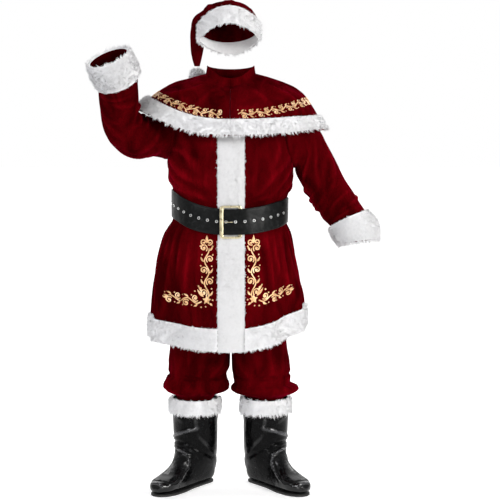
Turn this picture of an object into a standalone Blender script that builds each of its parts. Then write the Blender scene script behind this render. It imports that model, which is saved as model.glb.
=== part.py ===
"""Santa suit as it hangs on its wearer: coat, cape, belt, trousers, boots and hat.

Every cloth piece is a hollow wall lofted through sections. Heights in the tables are
measured from the soles. The suit's origin is at the shoulders, which carry the coat.
+X is to the right of someone facing the suit, and the front faces -Y. Metres, +Z up.
"""

from collections import namedtuple

import bmesh
import bpy
import numpy as np

COLLECTION = "santa_suit"
SHOULDERS = np.array([0.0, 0.0, 1.5])  # the origin, measured from the soles

CRIMSON = (0.12, 0.001, 0.004)
WHITE = (0.86, 0.86, 0.88)
BLACK = (0.010, 0.010, 0.011)
PALE_GOLD = (0.78, 0.66, 0.38)

# Walls and gaps
SEAM = 0.0003  # between pieces that are sewn together
CUFF_CLEAR = 0.0012
CAPE_CLEAR = 0.0016
BOOT_CLEAR = 0.001
VELVET = 0.0022
LEATHER = 0.003
CLEAR = 0.0005  # between a trim and the cloth under it
SOLE = 0.009
TRIM_EDGE = 0.55  # share of a trim's pile at its edges

# Coat
PLACKET_LEFT, PLACKET_RIGHT = 0.047, 0.053  # its edges, to each side of the middle
PLACKET_PILE = 0.007
PLACKET_PRESSED = 0.0026  # where the belt flattens its pile
PLACKET_THINS = (1.49, 1.54)  # heights between which it thins under the neckband
HEM_LOW = 0.55  # nominal height of the coat's bottom edge
HEM_BAND = 0.085
HEM_RADIUS = 0.25
HEM_ROWS = ((-0.047, TRIM_EDGE), (0.3, 1.0), (0.75, 1.0), (1.0, TRIM_EDGE))  # share up, share of the pile
HEM_PILE = 0.012
SKIRT_TOP = 0.95
ARMHOLE_LOW = 1.225
ARMHOLE_HIGH = 1.50
RAISED_ARM_PULL = 0.033  # how far the raised arm draws the coat up under it
ARMHOLE_TURN = 32.0  # half the opening's width, in degrees round the body
NECK_HIGH = 1.55
SKIRT_ROWS = (0.71, 0.78, 0.85, 0.91, 0.955)
BODY_ROWS = (0.995, 1.035, 1.09, 1.145, 1.185)
SHOULDER_ROW = 1.53
HEM_TILT = dict(front=-0.004, right=0.070, back=0.050, left=0.030)  # how far the hem rises
NECK_DIP = dict(front=-0.030, right=0.0, back=0.0, left=0.0)
FLUTE_X, FLUTE_Y = 0.26, 0.22  # half width and depth of the skirt that the flutes are drawn on

# Belt and buckle
BELT_TALL = 0.098
BELT_FRONT = 1.025  # height of its middle line at the front
BELT_SIDES = dict(right=1.065, back=1.083, left=1.089)
BELT_LIFT = 0.0034
BELT_OVER_PLACKET = 0.0066
BELT_OVERLAP = 0.0048  # its free end over its fixed end
BELT_START, BELT_STEP, BELT_COLUMNS = 16.0, 8.0, 53  # degrees from the front
BELT_TIP = 12.0  # degrees over which its free end is rounded
BELT_DROPS = (13, 24)  # degrees from the middle over which it comes down off the placket
BELT_CLIMBS = (348, 368)  # degrees over which its free end rises over its fixed end
BUCKLE_WIDE = 0.083
BUCKLE_TALL = 0.122
BUCKLE_BAR = 0.014
BUCKLE_END = 0.008
BUCKLE_THICK = 0.0045
BUCKLE_X = 0.0025
BUCKLE_CORNER, BUCKLE_WINDOW = 0.012, 0.004  # radii of its outer and inner corners
BUCKLE_SECTION = (  # share from outer to inner edge, share out from the bar's middle
    (0, 0.5), (0.3, 1), (0.7, 1), (1, 0.5), (1, -0.5), (0.7, -1), (0.3, -1), (0, -0.5),
)
BUCKLE_LIFT_LEFT, BUCKLE_LIFT_RIGHT = 0.0184, 0.0078
BUCKLE_LEAN = 0.036  # how much further out its foot stands, for each metre down
PRONG_RADIUS = 0.0017
PRONG = ((0.006, 0.0185), (-0.008, 0.0196), (-0.022, 0.0212), (-0.037, 0.0228))  # x and lift

# Trims
CUFF_PILE = 0.021
BOOT_PILE = 0.019
CAPE_PILE = 0.012
HAT_PILE = 0.016
POMPOM_RADIUS = 0.033

FRONT_COLUMNS = 6  # coat columns between the placket and the side seam
BACK_COLUMNS = 16
SLEEVE_SIDES = 16

Body = namedtuple("Body", "z left right front back")
Flute = namedtuple("Flute", "angle spread depth")
Cape = namedtuple("Cape", "s left right front back z_front z_right z_back z_left")
Ring = namedtuple("Ring", "t ax ay az bx by bz half")
Leg = namedtuple("Leg", "z inner outer front back")
Foot = namedtuple("Foot", "t top_y top_z low_y low_z half square")
Fold = namedtuple("Fold", "t angle long wide depth slant")

# Half widths and depths of the coat, from hem to neck
COAT = (
    Body(0.55, 0.309, 0.282, 0.226, 0.205),
    Body(0.65, 0.304, 0.277, 0.218, 0.198),
    Body(0.75, 0.297, 0.260, 0.207, 0.187),
    Body(0.85, 0.283, 0.246, 0.194, 0.171),
    Body(0.92, 0.268, 0.236, 0.183, 0.157),
    Body(0.97, 0.254, 0.228, 0.175, 0.146),
    Body(1.00, 0.238, 0.219, 0.171, 0.138),
    Body(1.03, 0.222, 0.209, 0.169, 0.134),
    Body(1.09, 0.217, 0.209, 0.171, 0.136),
    Body(1.125, 0.218, 0.219, 0.175, 0.141),
    Body(1.15, 0.226, 0.230, 0.178, 0.145),
    Body(1.18, 0.238, 0.236, 0.179, 0.147),
    Body(1.225, 0.241, 0.239, 0.176, 0.147),
    Body(1.30, 0.238, 0.238, 0.168, 0.146),
    Body(1.38, 0.229, 0.229, 0.155, 0.138),
    Body(1.44, 0.216, 0.216, 0.138, 0.125),
    Body(1.48, 0.200, 0.200, 0.122, 0.112),
    Body(1.505, 0.178, 0.178, 0.108, 0.100),
    Body(1.53, 0.136, 0.136, 0.092, 0.087),
    Body(1.55, 0.090, 0.090, 0.078, 0.073),
)

# Soft upright folds of the skirt: where they run, how wide, and how far out or in
FLUTES = (
    Flute(-100, 9, 0.009), Flute(-80, 8, -0.007), Flute(-62, 9, 0.013), Flute(-40, 9, -0.010),
    Flute(30, 8, 0.005), Flute(48, 9, -0.010), Flute(66, 9, 0.012), Flute(84, 8, -0.006),
    Flute(101, 9, 0.010), Flute(121, 9, -0.008), Flute(141, 10, 0.011), Flute(161, 9, -0.007),
    Flute(180, 10, 0.009), Flute(200, 9, -0.008), Flute(221, 10, 0.011), Flute(242, 9, -0.007),
)

# The cape from neck to hem
CAPE = (
    Cape(0.0, 0.096, 0.096, 0.098, 0.088, 1.530, 1.582, 1.575, 1.582),
    Cape(0.2, 0.146, 0.150, 0.131, 0.118, 1.508, 1.567, 1.552, 1.568),
    Cape(0.4, 0.205, 0.216, 0.161, 0.146, 1.475, 1.541, 1.514, 1.550),
    Cape(0.6, 0.262, 0.270, 0.184, 0.168, 1.438, 1.507, 1.470, 1.518),
    Cape(0.8, 0.308, 0.322, 0.197, 0.182, 1.400, 1.438, 1.425, 1.488),
    Cape(1.0, 0.352, 0.358, 0.206, 0.192, 1.342, 1.370, 1.363, 1.446),
)
CAPE_OVER_ARM = Flute(-54, 17, 0.034)  # the raised arm pushes the cape out
CAPE_FUR_TOP = dict(front=0.79, right=0.85, back=0.80, left=0.79)  # share where the plush starts
CAPE_FUR_ROWS = ((0.0, 0.5), (0.33, 1.0), (0.71, 1.0), (1.0, 0.6))  # share across, share of the pile
CAPE_ROWS = (0, 0.14, 0.28, 0.42, 0.56, 0.69, 0.80, 0.90, 1.0)
CAPE_COLUMNS = 37
CAPE_STEP = (0.4, 0.004)  # the small steps that find its slope
NECK_RADIUS = 0.09
NECKBAND_ROWS = ((0.0008, 0.0), (0.015, 0.004), (0.030, 0.006))  # height and lean inwards
NECKBAND_COLUMNS = 29

# Sleeves: a is the point on the upper or crook side of each section, b the point opposite
SLEEVE_LEFT = (
    Ring(0.0, -0.190, -0.002, 1.490, -0.243, -0.002, 1.258, 0.090),
    Ring(1.0, -0.236, -0.010, 1.450, -0.252, -0.010, 1.264, 0.086),
    Ring(2.0, -0.282, -0.028, 1.430, -0.284, -0.030, 1.264, 0.081),
    Ring(3.0, -0.314, -0.060, 1.422, -0.334, -0.066, 1.262, 0.079),
    Ring(4.0, -0.335, -0.098, 1.425, -0.387, -0.106, 1.274, 0.078),
    Ring(5.0, -0.341, -0.136, 1.438, -0.434, -0.144, 1.308, 0.076),
    Ring(6.0, -0.339, -0.170, 1.464, -0.464, -0.174, 1.362, 0.074),
    Ring(7.0, -0.336, -0.202, 1.498, -0.475, -0.205, 1.425, 0.072),
    Ring(8.0, -0.335, -0.232, 1.534, -0.476, -0.234, 1.478, 0.070),
    Ring(9.0, -0.335, -0.258, 1.566, -0.474, -0.258, 1.514, 0.069),
    Ring(10.0, -0.350, -0.280, 1.607, -0.486, -0.280, 1.554, 0.070),
    Ring(11.0, -0.367, -0.298, 1.643, -0.499, -0.298, 1.592, 0.070),
)
SLEEVE_RIGHT = (
    Ring(0.0, 0.190, 0.004, 1.490, 0.241, 0.004, 1.235, 0.090),
    Ring(1.0, 0.246, 0.006, 1.475, 0.246, 0.006, 1.220, 0.092),
    Ring(2.0, 0.299, 0.010, 1.430, 0.248, 0.008, 1.210, 0.092),
    Ring(3.0, 0.340, 0.013, 1.366, 0.252, 0.012, 1.196, 0.090),
    Ring(4.0, 0.375, 0.016, 1.303, 0.267, 0.015, 1.168, 0.086),
    Ring(5.0, 0.407, 0.017, 1.240, 0.287, 0.016, 1.131, 0.082),
    Ring(6.0, 0.436, 0.016, 1.182, 0.303, 0.014, 1.095, 0.079),
    Ring(7.0, 0.463, 0.010, 1.141, 0.323, 0.008, 1.061, 0.076),
    Ring(8.0, 0.489, 0.002, 1.102, 0.350, 0.000, 1.031, 0.074),
    Ring(9.0, 0.516, -0.006, 1.057, 0.382, -0.008, 0.999, 0.073),
    Ring(10.0, 0.552, -0.012, 1.002, 0.399, -0.014, 0.965, 0.073),
    Ring(11.0, 0.555, -0.016, 0.953, 0.419, -0.018, 0.938, 0.072),
)
SLEEVE_ROWS = (1, 2, 3, 4, 4.7, 5.4, 6.2, 7, 8, 9, 9.6, 10.3, 11.0)
CUFF_ROWS = 4  # the last rings, which the plush cuff covers
SLEEVE_HEAD = 0.012  # how far the sleeve stands out before it turns along the arm
HEAD_SHARE, HEAD_LIFT = 0.35, 0.0192  # how its first ring blends into the armhole
ELBOW_LEFT = (
    Fold(5.0, 20, 0.7, 34, 0.010, 0.2), Fold(3.4, -25, 0.45, 40, 0.007, -0.3),
    Fold(6.5, 150, 0.5, 40, 0.006, 0.4), Fold(2.0, 150, 0.6, 45, 0.007, 0.3),
)
ELBOW_RIGHT = (
    Fold(5.6, 150, 0.5, 40, 0.009, 0.3), Fold(7.2, 190, 0.5, 45, 0.008, -0.3),
    Fold(4.2, 60, 0.6, 45, 0.006, 0.4), Fold(7.8, 40, 0.5, 40, 0.005, -0.4),
)

# Trouser legs, from waist to the end inside the boot
LEG_LEFT = (
    Leg(0.300, -0.072, -0.206, 0.067, 0.067), Leg(0.338, -0.072, -0.206, 0.067, 0.067),
    Leg(0.355, -0.058, -0.218, 0.078, 0.078), Leg(0.364, -0.036, -0.236, 0.094, 0.094),
    Leg(0.372, -0.018, -0.250, 0.105, 0.103), Leg(0.382, -0.007, -0.259, 0.111, 0.108),
    Leg(0.394, -0.006, -0.260, 0.113, 0.110), Leg(0.412, -0.012, -0.253, 0.110, 0.108),
    Leg(0.433, -0.017, -0.242, 0.106, 0.105), Leg(0.468, -0.004, -0.235, 0.109, 0.108),
    Leg(0.560, -0.002, -0.233, 0.114, 0.112), Leg(0.680, -0.001, -0.230, 0.120, 0.116),
    Leg(0.800, -0.0004, -0.225, 0.126, 0.120),
)
LEG_RIGHT = (
    Leg(0.300, 0.066, 0.200, 0.067, 0.067), Leg(0.336, 0.066, 0.200, 0.067, 0.067),
    Leg(0.351, 0.052, 0.214, 0.078, 0.078), Leg(0.358, 0.030, 0.234, 0.093, 0.093),
    Leg(0.365, 0.010, 0.250, 0.104, 0.103), Leg(0.376, 0.000, 0.260, 0.111, 0.108),
    Leg(0.387, 0.003, 0.256, 0.112, 0.109), Leg(0.400, 0.013, 0.228, 0.105, 0.104),
    Leg(0.424, 0.008, 0.229, 0.106, 0.105), Leg(0.468, 0.002, 0.221, 0.108, 0.107),
    Leg(0.560, 0.001, 0.214, 0.113, 0.111), Leg(0.680, 0.001, 0.216, 0.119, 0.115),
    Leg(0.800, 0.0004, 0.215, 0.125, 0.119),
)
LEG_TOP = 0.80  # above it the legs keep one shape until they join the hips
LEG_ROWS = (0.57, 0.66, 0.735, 0.78, 0.82, 0.86, 0.95)
LEG_COLUMNS = 17
LEG_STEP = (0.4, 0.0008)
WAIST_Z = 1.06
HIP_HALF, HIP_FRONT, HIP_BACK = 0.205, 0.140, 0.118
WAIST_HALF, WAIST_FRONT, WAIST_BACK = 0.190, 0.135, 0.112
RISE_TOP, CROTCH = 0.86, 0.735

# Boots, along the shaft and then the foot; y is measured from the heel, toe at -y
BOOT = (
    Foot(0.0, -0.180, 0.342, -0.009, 0.342, 0.087, 2.0),
    Foot(1.0, -0.181, 0.288, -0.008, 0.288, 0.088, 2.0),
    Foot(2.0, -0.179, 0.235, -0.008, 0.232, 0.087, 2.0),
    Foot(3.0, -0.177, 0.193, -0.007, 0.178, 0.085, 2.0),
    Foot(4.0, -0.179, 0.163, -0.004, 0.128, 0.080, 2.0),
    Foot(5.0, -0.187, 0.138, -0.001, 0.078, 0.068, 2.1),
    Foot(6.0, -0.200, 0.121, 0.000, 0.036, 0.055, 2.4),
    Foot(7.0, -0.214, 0.106, -0.020, 0.0105, 0.045, 2.8),
    Foot(8.0, -0.230, 0.092, -0.090, 0.0100, 0.042, 3.0),
    Foot(9.0, -0.248, 0.079, -0.165, 0.0100, 0.046, 3.0),
    Foot(10.0, -0.270, 0.067, -0.232, 0.0100, 0.052, 2.9),
    Foot(11.0, -0.294, 0.061, -0.280, 0.0100, 0.051, 2.8),
    Foot(12.0, -0.318, 0.056, -0.312, 0.0105, 0.043, 2.5),
    Foot(13.0, -0.335, 0.046, -0.332, 0.0135, 0.028, 2.2),
    Foot(14.0, -0.342, 0.032, -0.341, 0.0200, 0.010, 2.0),
)
BOOT_FUR_ROWS = ((0.0, TRIM_EDGE), (0.3, 1.0), (0.75, 1.0), (1.05, TRIM_EDGE))  # t, share of the pile
HEEL_LEFT, HEEL_RIGHT = (-0.084, 0.080), (0.078, 0.080)
TOE_OUT_LEFT, TOE_OUT_RIGHT = 35.5, 36.5
BOOT_SIDES = 16
SOLE_ROWS = (  # distance from the heel and half width
    (-0.002, 0.011), (-0.010, 0.024), (-0.034, 0.034), (-0.080, 0.035), (-0.130, 0.037),
    (-0.180, 0.044), (-0.230, 0.051), (-0.268, 0.051), (-0.302, 0.044), (-0.326, 0.031),
    (-0.339, 0.012),
)

# Hat
HAT_CENTRE = (-0.006, -0.012)
HAT_BAND_HALF, HAT_BAND_FRONT, HAT_BAND_BACK = 0.126, 0.126, 0.128
HAT_BAND_TALL = 0.070
HAT_BAND_ROWS = ((0.0, 0.6), (0.25, 0.95), (0.6, 1.0), (0.92, 0.9), (1.0, 0.55))  # share up, of the pile
HAT_SIDES, CROWN_SIDES = 28, 18
HAT_BAND_LOW = dict(front=1.757, right=1.708, back=1.662, left=1.702)
CROWN = (
    Ring(0.0, 0.069, -0.088, 1.768, -0.081, 0.056, 1.716, 0.106),
    Ring(1.0, 0.069, -0.076, 1.804, -0.081, 0.068, 1.752, 0.104),
    Ring(2.0, 0.058, -0.050, 1.834, -0.084, 0.080, 1.772, 0.097),
    Ring(3.0, 0.030, -0.018, 1.848, -0.088, 0.092, 1.782, 0.085),
    Ring(4.0, -0.008, 0.018, 1.850, -0.093, 0.100, 1.786, 0.0725),
    Ring(5.0, -0.048, 0.054, 1.848, -0.098, 0.107, 1.786, 0.061),
    Ring(6.0, -0.088, 0.090, 1.838, -0.102, 0.112, 1.780, 0.051),
    Ring(7.0, -0.124, 0.120, 1.820, -0.104, 0.116, 1.766, 0.042),
    Ring(8.0, -0.147, 0.143, 1.784, -0.106, 0.120, 1.744, 0.034),
    Ring(9.0, -0.155, 0.156, 1.736, -0.109, 0.124, 1.712, 0.028),
    Ring(10.0, -0.155, 0.160, 1.690, -0.114, 0.128, 1.676, 0.022),
    Ring(11.0, -0.149, 0.158, 1.648, -0.121, 0.134, 1.640, 0.015),
    Ring(12.0, -0.142, 0.154, 1.622, -0.126, 0.140, 1.620, 0.010),
)
POMPOM_AT = (-0.134, 0.147, 1.5845)


def curve_through(keys, values, at):
    """A smooth curve through the values that never overshoots them."""
    keys, values = np.asarray(keys, float), np.asarray(values, float)
    step = np.diff(keys)
    slope = np.diff(values) / step
    tangent = np.zeros(len(keys))
    same = slope[1:] * slope[:-1] > 0
    tangent[1:-1][same] = 2 * slope[1:][same] * slope[:-1][same] / (slope[1:] + slope[:-1])[same]
    tangent[0], tangent[-1] = slope[0], slope[-1]
    at = np.clip(np.asarray(at, float), keys[0], keys[-1])
    i = np.clip(np.searchsorted(keys, at, side="right") - 1, 0, len(step) - 1)
    s = (at - keys[i]) / step[i]
    return (
        values[i] * (1 + 2 * s) * (1 - s) ** 2
        + values[i + 1] * (3 - 2 * s) * s**2
        + tangent[i] * step[i] * s * (1 - s) ** 2
        - tangent[i + 1] * step[i] * s**2 * (1 - s)
    )


def read(table, at):
    """The table's columns at a value of its first column."""
    names = table[0]._fields
    keys = [row[0] for row in table]
    columns = [curve_through(keys, [row[n] for row in table], at) for n in range(1, len(names))]
    return namedtuple("At", names[1:])(*columns)


def ease(at, start, end):
    """0 before start, 1 after end, smooth between them."""
    s = np.clip((np.asarray(at, float) - start) / (end - start), 0, 1)
    return s * s * (3 - 2 * s)


def bump(at, centre, spread):
    return np.exp(-(((np.asarray(at, float) - centre) / spread) ** 2))


def turn_between(a, b):
    """The angle from b to a, within half a turn."""
    return (np.asarray(a, float) - b + 180) % 360 - 180


def oval(angle, left, right, front, back, square=2.25):
    """A point of an oval plan: angle 0 is the front and 90 the right."""
    sine, cosine = np.sin(np.radians(angle)), np.cos(np.radians(angle))
    x = np.where(sine < 0, left, right) * np.sign(sine) * np.abs(sine) ** (2 / square)
    y = -np.where(cosine > 0, front, back) * np.sign(cosine) * np.abs(cosine) ** (2 / square)
    return x, y


def by_side(angle, front, right, back, left):
    """A value that changes smoothly from one side of the body to the next."""
    sine, cosine = np.sin(np.radians(angle)), np.cos(np.radians(angle))
    return np.where(cosine > 0, front, back) * cosine**2 + np.where(sine > 0, right, left) * sine**2


def body_square(height):
    """How square the coat's plan is: rounder at the hem."""
    return 2.05 + 0.2 * ease(height, 0.7, 1.1)


def coat_form(angle, height):
    """The coat's outer surface at an angle round the body and a nominal height."""
    angle, height = np.broadcast_arrays(np.asarray(angle, float), np.asarray(height, float))
    body = read(COAT, height)
    swing = 1 - ease(height, HEM_LOW + 0.08, SKIRT_TOP + 0.06)
    fold = sum(f.depth * bump(turn_between(angle, f.angle), 0, f.spread) for f in FLUTES) * swing
    x, y = oval(angle, body.left, body.right, body.front, body.back, body_square(height))
    x, y = x * (1 + fold / FLUTE_X), y * (1 + fold / FLUTE_Y)
    tilt = by_side(angle, **HEM_TILT) * (1 - ease(height, 0.64, SKIRT_TOP))
    dip = by_side(angle, **NECK_DIP) * ease(height, ARMHOLE_HIGH, NECK_HIGH)
    drawn_up = by_side(angle, 0.0, 0.0, 0.0, RAISED_ARM_PULL) * bump(height, ARMHOLE_LOW, 0.07)
    return np.stack([x, y, height + tilt + dip + drawn_up], axis=-1)


def cape_form(angle, s):
    """The cape's outer surface at an angle round the body and a share s from neck to hem."""
    angle, s = np.broadcast_arrays(np.asarray(angle, float), np.asarray(s, float))
    row = read(CAPE, s)
    out = CAPE_OVER_ARM.depth * bump(turn_between(angle, CAPE_OVER_ARM.angle), 0, CAPE_OVER_ARM.spread)
    out = 1 + out * ease(s, 0.3, 0.9) / 0.28
    x, y = oval(angle, row.left, row.right, row.front, row.back, 2.3)
    z = by_side(angle, row.z_front, row.z_right, row.z_back, row.z_left) + 0.18 * (out - 1) * s
    return np.stack([x * out, y * out, z], axis=-1)


def unit(vectors):
    return vectors / np.linalg.norm(vectors, axis=-1, keepdims=True)


def lifted(form, u, v, lift, step=(0.4, 0.002), facing=1):
    """Points of a surface moved out along its normals."""
    u, v = np.broadcast_arrays(np.asarray(u, float), np.asarray(v, float))
    along_u = form(u + step[0], v) - form(u - step[0], v)
    along_v = form(u, v + step[1]) - form(u, v - step[1])
    normal = unit(np.cross(along_u, along_v)) * facing
    return form(u, v) + normal * np.asarray(lift)[..., None]


def ring_grid(table, at, sides, side_sign, folds=()):
    """Oval sections from pairs of opposite points, one row for each value in at."""
    at = np.asarray(at, float)
    row = read(table, at)
    a = np.stack([row.ax, row.ay, row.az], axis=-1)
    b = np.stack([row.bx, row.by, row.bz], axis=-1)
    centre, across = (a + b) / 2, (a - b) / 2
    ahead = read(table, at + 0.25)
    behind = read(table, at - 0.25)
    path = unit(
        np.stack([ahead.ax + ahead.bx, ahead.ay + ahead.by, ahead.az + ahead.bz], axis=-1)
        - np.stack([behind.ax + behind.bx, behind.ay + behind.by, behind.az + behind.bz], axis=-1)
    )
    sideways = unit(np.cross(path, across)) * side_sign * row.half[:, None]
    angle = np.arange(sides) * 360 / sides
    fold = sum(
        f.depth
        * bump(at[:, None], f.t + f.slant * turn_between(angle, f.angle)[None] / f.wide, f.long)
        * bump(turn_between(angle, f.angle)[None], 0, f.wide)
        for f in folds
    )
    shrink = (1 - fold / row.half[:, None]) if folds else np.ones((len(at), sides))
    cosine, sine = np.cos(np.radians(angle)), np.sin(np.radians(angle))
    spoke = across[:, None] * cosine[None, :, None] + sideways[:, None] * sine[None, :, None]
    return centre[:, None] + spoke * shrink[..., None]


def grid_normals(grid, around=True):
    """Outward normals of a lofted grid, rows along its length."""
    if around:
        across = np.roll(grid, -1, axis=1) - np.roll(grid, 1, axis=1)
    else:
        across = np.gradient(grid, axis=1)
    along = np.gradient(grid, axis=0)
    normal = np.cross(across, along)
    length = np.linalg.norm(normal, axis=-1, keepdims=True)
    normal = normal / np.maximum(length, 1e-12)
    outward = grid - grid.mean(axis=1, keepdims=True)
    return normal * np.sign((normal * outward).sum())


def material(name, colour, roughness, metallic=0.0):
    made = bpy.data.materials.get(name) or bpy.data.materials.new(name)
    made.use_nodes = True
    shader = made.node_tree.nodes["Principled BSDF"]
    shader.inputs["Base Color"].default_value = (*colour, 1)
    shader.inputs["Roughness"].default_value = roughness
    shader.inputs["Metallic"].default_value = metallic
    return made


def velvet():
    return material("velvet", CRIMSON, 0.75)


def plush():
    return material("plush", WHITE, 0.95)


def leather():
    return material("leather", BLACK, 0.38)


def gold_metal():
    return material("gold_metal", PALE_GOLD, 0.28, 1.0)


def rubber():
    return material("rubber", BLACK, 0.7)


def add_object(name, mesh, surface):
    mesh.materials.append(surface)
    mesh.shade_smooth()
    mesh.set_sharp_from_angle(angle=np.radians(50))
    made = bpy.data.objects.new(name, mesh)
    bpy.data.collections[COLLECTION].objects.link(made)
    return made


def mesh_from(name, points, faces, surface):
    """A closed mesh, measured from the soles, placed with its origin at the shoulders."""
    mesh = bpy.data.meshes.new(name)
    mesh.from_pydata((np.asarray(points) - SHOULDERS).tolist(), [], faces)
    shape = bmesh.new()
    shape.from_mesh(mesh)
    bmesh.ops.recalc_face_normals(shape, faces=shape.faces)
    shape.to_mesh(mesh)
    shape.free()
    return add_object(name, mesh, surface)


def wall(name, outer, inner, surface, around=False):
    """A cloth wall between two grids of points, closed along every edge."""
    rows, columns = outer.shape[:2]
    number = np.arange(rows * columns).reshape(rows, columns)
    if around:
        number = np.concatenate([number, number[:, :1]], axis=1)
    shift = rows * columns
    faces = []

    def strip(first, second):
        for k in range(len(first) - 1):
            faces.append((first[k], first[k + 1], second[k + 1], second[k]))

    for r in range(rows - 1):
        strip(number[r], number[r + 1])
        strip(number[r] + shift, number[r + 1] + shift)
    for edge in (number[0], number[-1]):
        strip(edge, edge + shift)
    if not around:
        for edge in (number[:, 0], number[:, -1]):
            strip(edge, edge + shift)
    points = np.concatenate([outer.reshape(-1, 3), inner.reshape(-1, 3)])
    return mesh_from(name, points, [tuple(int(i) for i in face) for face in faces], surface)


def cup(name, outer, inner, surface):
    """A tube wall closed at its last row, by a cap outside and one inside."""
    rows, sides = outer.shape[:2]
    number = np.arange(rows * sides).reshape(rows, sides)
    shift = rows * sides
    faces = []
    for r in range(rows - 1):
        for k in range(sides):
            a, b, c, d = number[r, k], number[r, k - 1], number[r + 1, k - 1], number[r + 1, k]
            faces.append((a, b, c, d))
            faces.append((a + shift, b + shift, c + shift, d + shift))
    for k in range(sides):
        faces.append((number[0, k], number[0, k - 1], number[0, k - 1] + shift, number[0, k] + shift))
    faces.append(tuple(number[-1]))
    faces.append(tuple(number[-1] + shift))
    points = np.concatenate([outer.reshape(-1, 3), inner.reshape(-1, 3)])
    return mesh_from(name, points, [tuple(int(i) for i in face) for face in faces], surface)


def coat_heights():
    """The coat's rows: skirt, belt, chest, armhole and shoulder."""
    hem = (HEM_LOW, HEM_LOW + HEM_BAND / 2, HEM_LOW + HEM_BAND)
    tall = ARMHOLE_HIGH - ARMHOLE_LOW
    half = SLEEVE_SIDES // 2
    armhole = [ARMHOLE_LOW + tall * (1 - np.cos(np.pi * k / half)) / 2 for k in range(half + 1)]
    return np.array([*hem, *SKIRT_ROWS, *BODY_ROWS, *armhole, SHOULDER_ROW, NECK_HIGH])


def armhole_turn(height):
    """Degrees between the side line and the edge of the armhole."""
    middle, half = (ARMHOLE_HIGH + ARMHOLE_LOW) / 2, (ARMHOLE_HIGH - ARMHOLE_LOW) / 2
    return ARMHOLE_TURN * np.sqrt(np.clip(1 - ((height - middle) / half) ** 2, 0, 1))


def gap_angle(angle, height):
    """Degrees that open half a seam gap."""
    ahead = coat_form(np.asarray(angle) + 0.5, height) - coat_form(np.asarray(angle) - 0.5, height)
    return SEAM / 2 / np.linalg.norm(ahead, axis=-1)


def placket_angle(height, side):
    """The angle of the placket's edge, which keeps one width from neck to hem."""
    body = read(COAT, height)
    share = PLACKET_RIGHT / body.right if side > 0 else PLACKET_LEFT / body.left
    return np.degrees(np.arcsin(share ** (body_square(height) / 2)))


def front_angles(heights, side):
    """Columns of one coat front, from the middle to the side seam or armhole."""
    edge = placket_angle(heights, side)
    seam = 90 - armhole_turn(heights)
    seam = seam - gap_angle(side * seam, heights)
    share = np.linspace(0, 1, FRONT_COLUMNS + 1)
    outer = edge[:, None] + (seam - edge)[:, None] * share
    inner = np.stack([gap_angle(0, heights), edge / 2], axis=1)
    return np.concatenate([inner, outer], axis=1) * side


def back_angles(heights):
    """Columns of the coat back, between the two side seams or armholes."""
    reach = 90 - armhole_turn(heights)
    reach = reach - gap_angle(180 - reach, heights)
    return 180 - reach[:, None] + 2 * reach[:, None] * np.linspace(0, 1, BACK_COLUMNS + 1)


def make_coat():
    heights = coat_heights()
    rows = heights[:, None]
    for name, angles in (
        ("coat_front_left", front_angles(heights, -1)),
        ("coat_front_right", front_angles(heights, 1)),
        ("coat_back", back_angles(heights)),
    ):
        outer = lifted(coat_form, angles, rows, 0.0)
        wall(name, outer, lifted(coat_form, angles, rows, -VELVET), velvet())


def make_placket():
    heights = coat_heights()
    rows = heights[:, None]
    left, right = placket_angle(heights, -1), placket_angle(heights, 1)
    angles = np.stack([-left, -left / 2, 0 * left, right / 2, right], axis=1)
    pressed = np.minimum(2 * bump(heights, BELT_FRONT, 0.095), 1)
    at_neck = ease(heights, *PLACKET_THINS)
    pile = PLACKET_PILE + (PLACKET_PRESSED - PLACKET_PILE) * pressed
    pile = pile * (1 - 0.6 * at_neck)
    section = np.array([TRIM_EDGE, 1, 1, 1, TRIM_EDGE])
    under = (CLEAR + 0.001 * at_neck)[:, None]
    outer = lifted(coat_form, angles, rows, under + pile[:, None] * section)
    wall("placket", outer, lifted(coat_form, angles, rows, under), plush())


def make_hem_fur():
    """The plush band round the hem, from one side of the placket to the other."""
    heights = coat_heights()[:3]
    gap = np.degrees(SEAM / HEM_RADIUS)
    right, left, back = front_angles(heights, 1), front_angles(heights, -1), back_angles(heights)
    angles = np.concatenate([right[:, 2:-1], back, left[:, -2:1:-1] + 360], axis=1)
    angles[:, 0] += gap
    angles[:, -1] -= gap
    up, pile = np.array(HEM_ROWS).T[..., None]
    rows = HEM_LOW + HEM_BAND * up
    angles = angles[[0, 0, 1, 2]]
    outer = lifted(coat_form, angles, rows, CLEAR + pile * HEM_PILE)
    wall("hem_fur", outer, lifted(coat_form, angles, rows, CLEAR), plush())


def armhole_ring(side, lift, trim=0.0):
    """The edge of the armhole, moved out from the coat and drawn in by trim."""
    turn = np.arange(SLEEVE_SIDES) * 2 * np.pi / SLEEVE_SIDES
    middle, half = (ARMHOLE_HIGH + ARMHOLE_LOW) / 2, (ARMHOLE_HIGH - ARMHOLE_LOW) / 2
    across = ARMHOLE_TURN - np.degrees(trim / 0.2)
    angle = side * (90 - across * np.sin(turn))
    return lifted(coat_form, angle, middle + (half - trim) * np.cos(turn), lift)


def sleeve_grid(table, side, folds, at):
    """Rings along the arm, after two that follow the edge of the armhole."""
    arm = ring_grid(table, at, SLEEVE_SIDES, side, folds)
    seam, head = armhole_ring(side, 2 * SEAM), armhole_ring(side, SLEEVE_HEAD)
    arm[0] = HEAD_SHARE * arm[0] + (1 - HEAD_SHARE) * armhole_ring(side, HEAD_LIFT)
    return np.concatenate([seam[None], head[None], arm])


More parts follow.
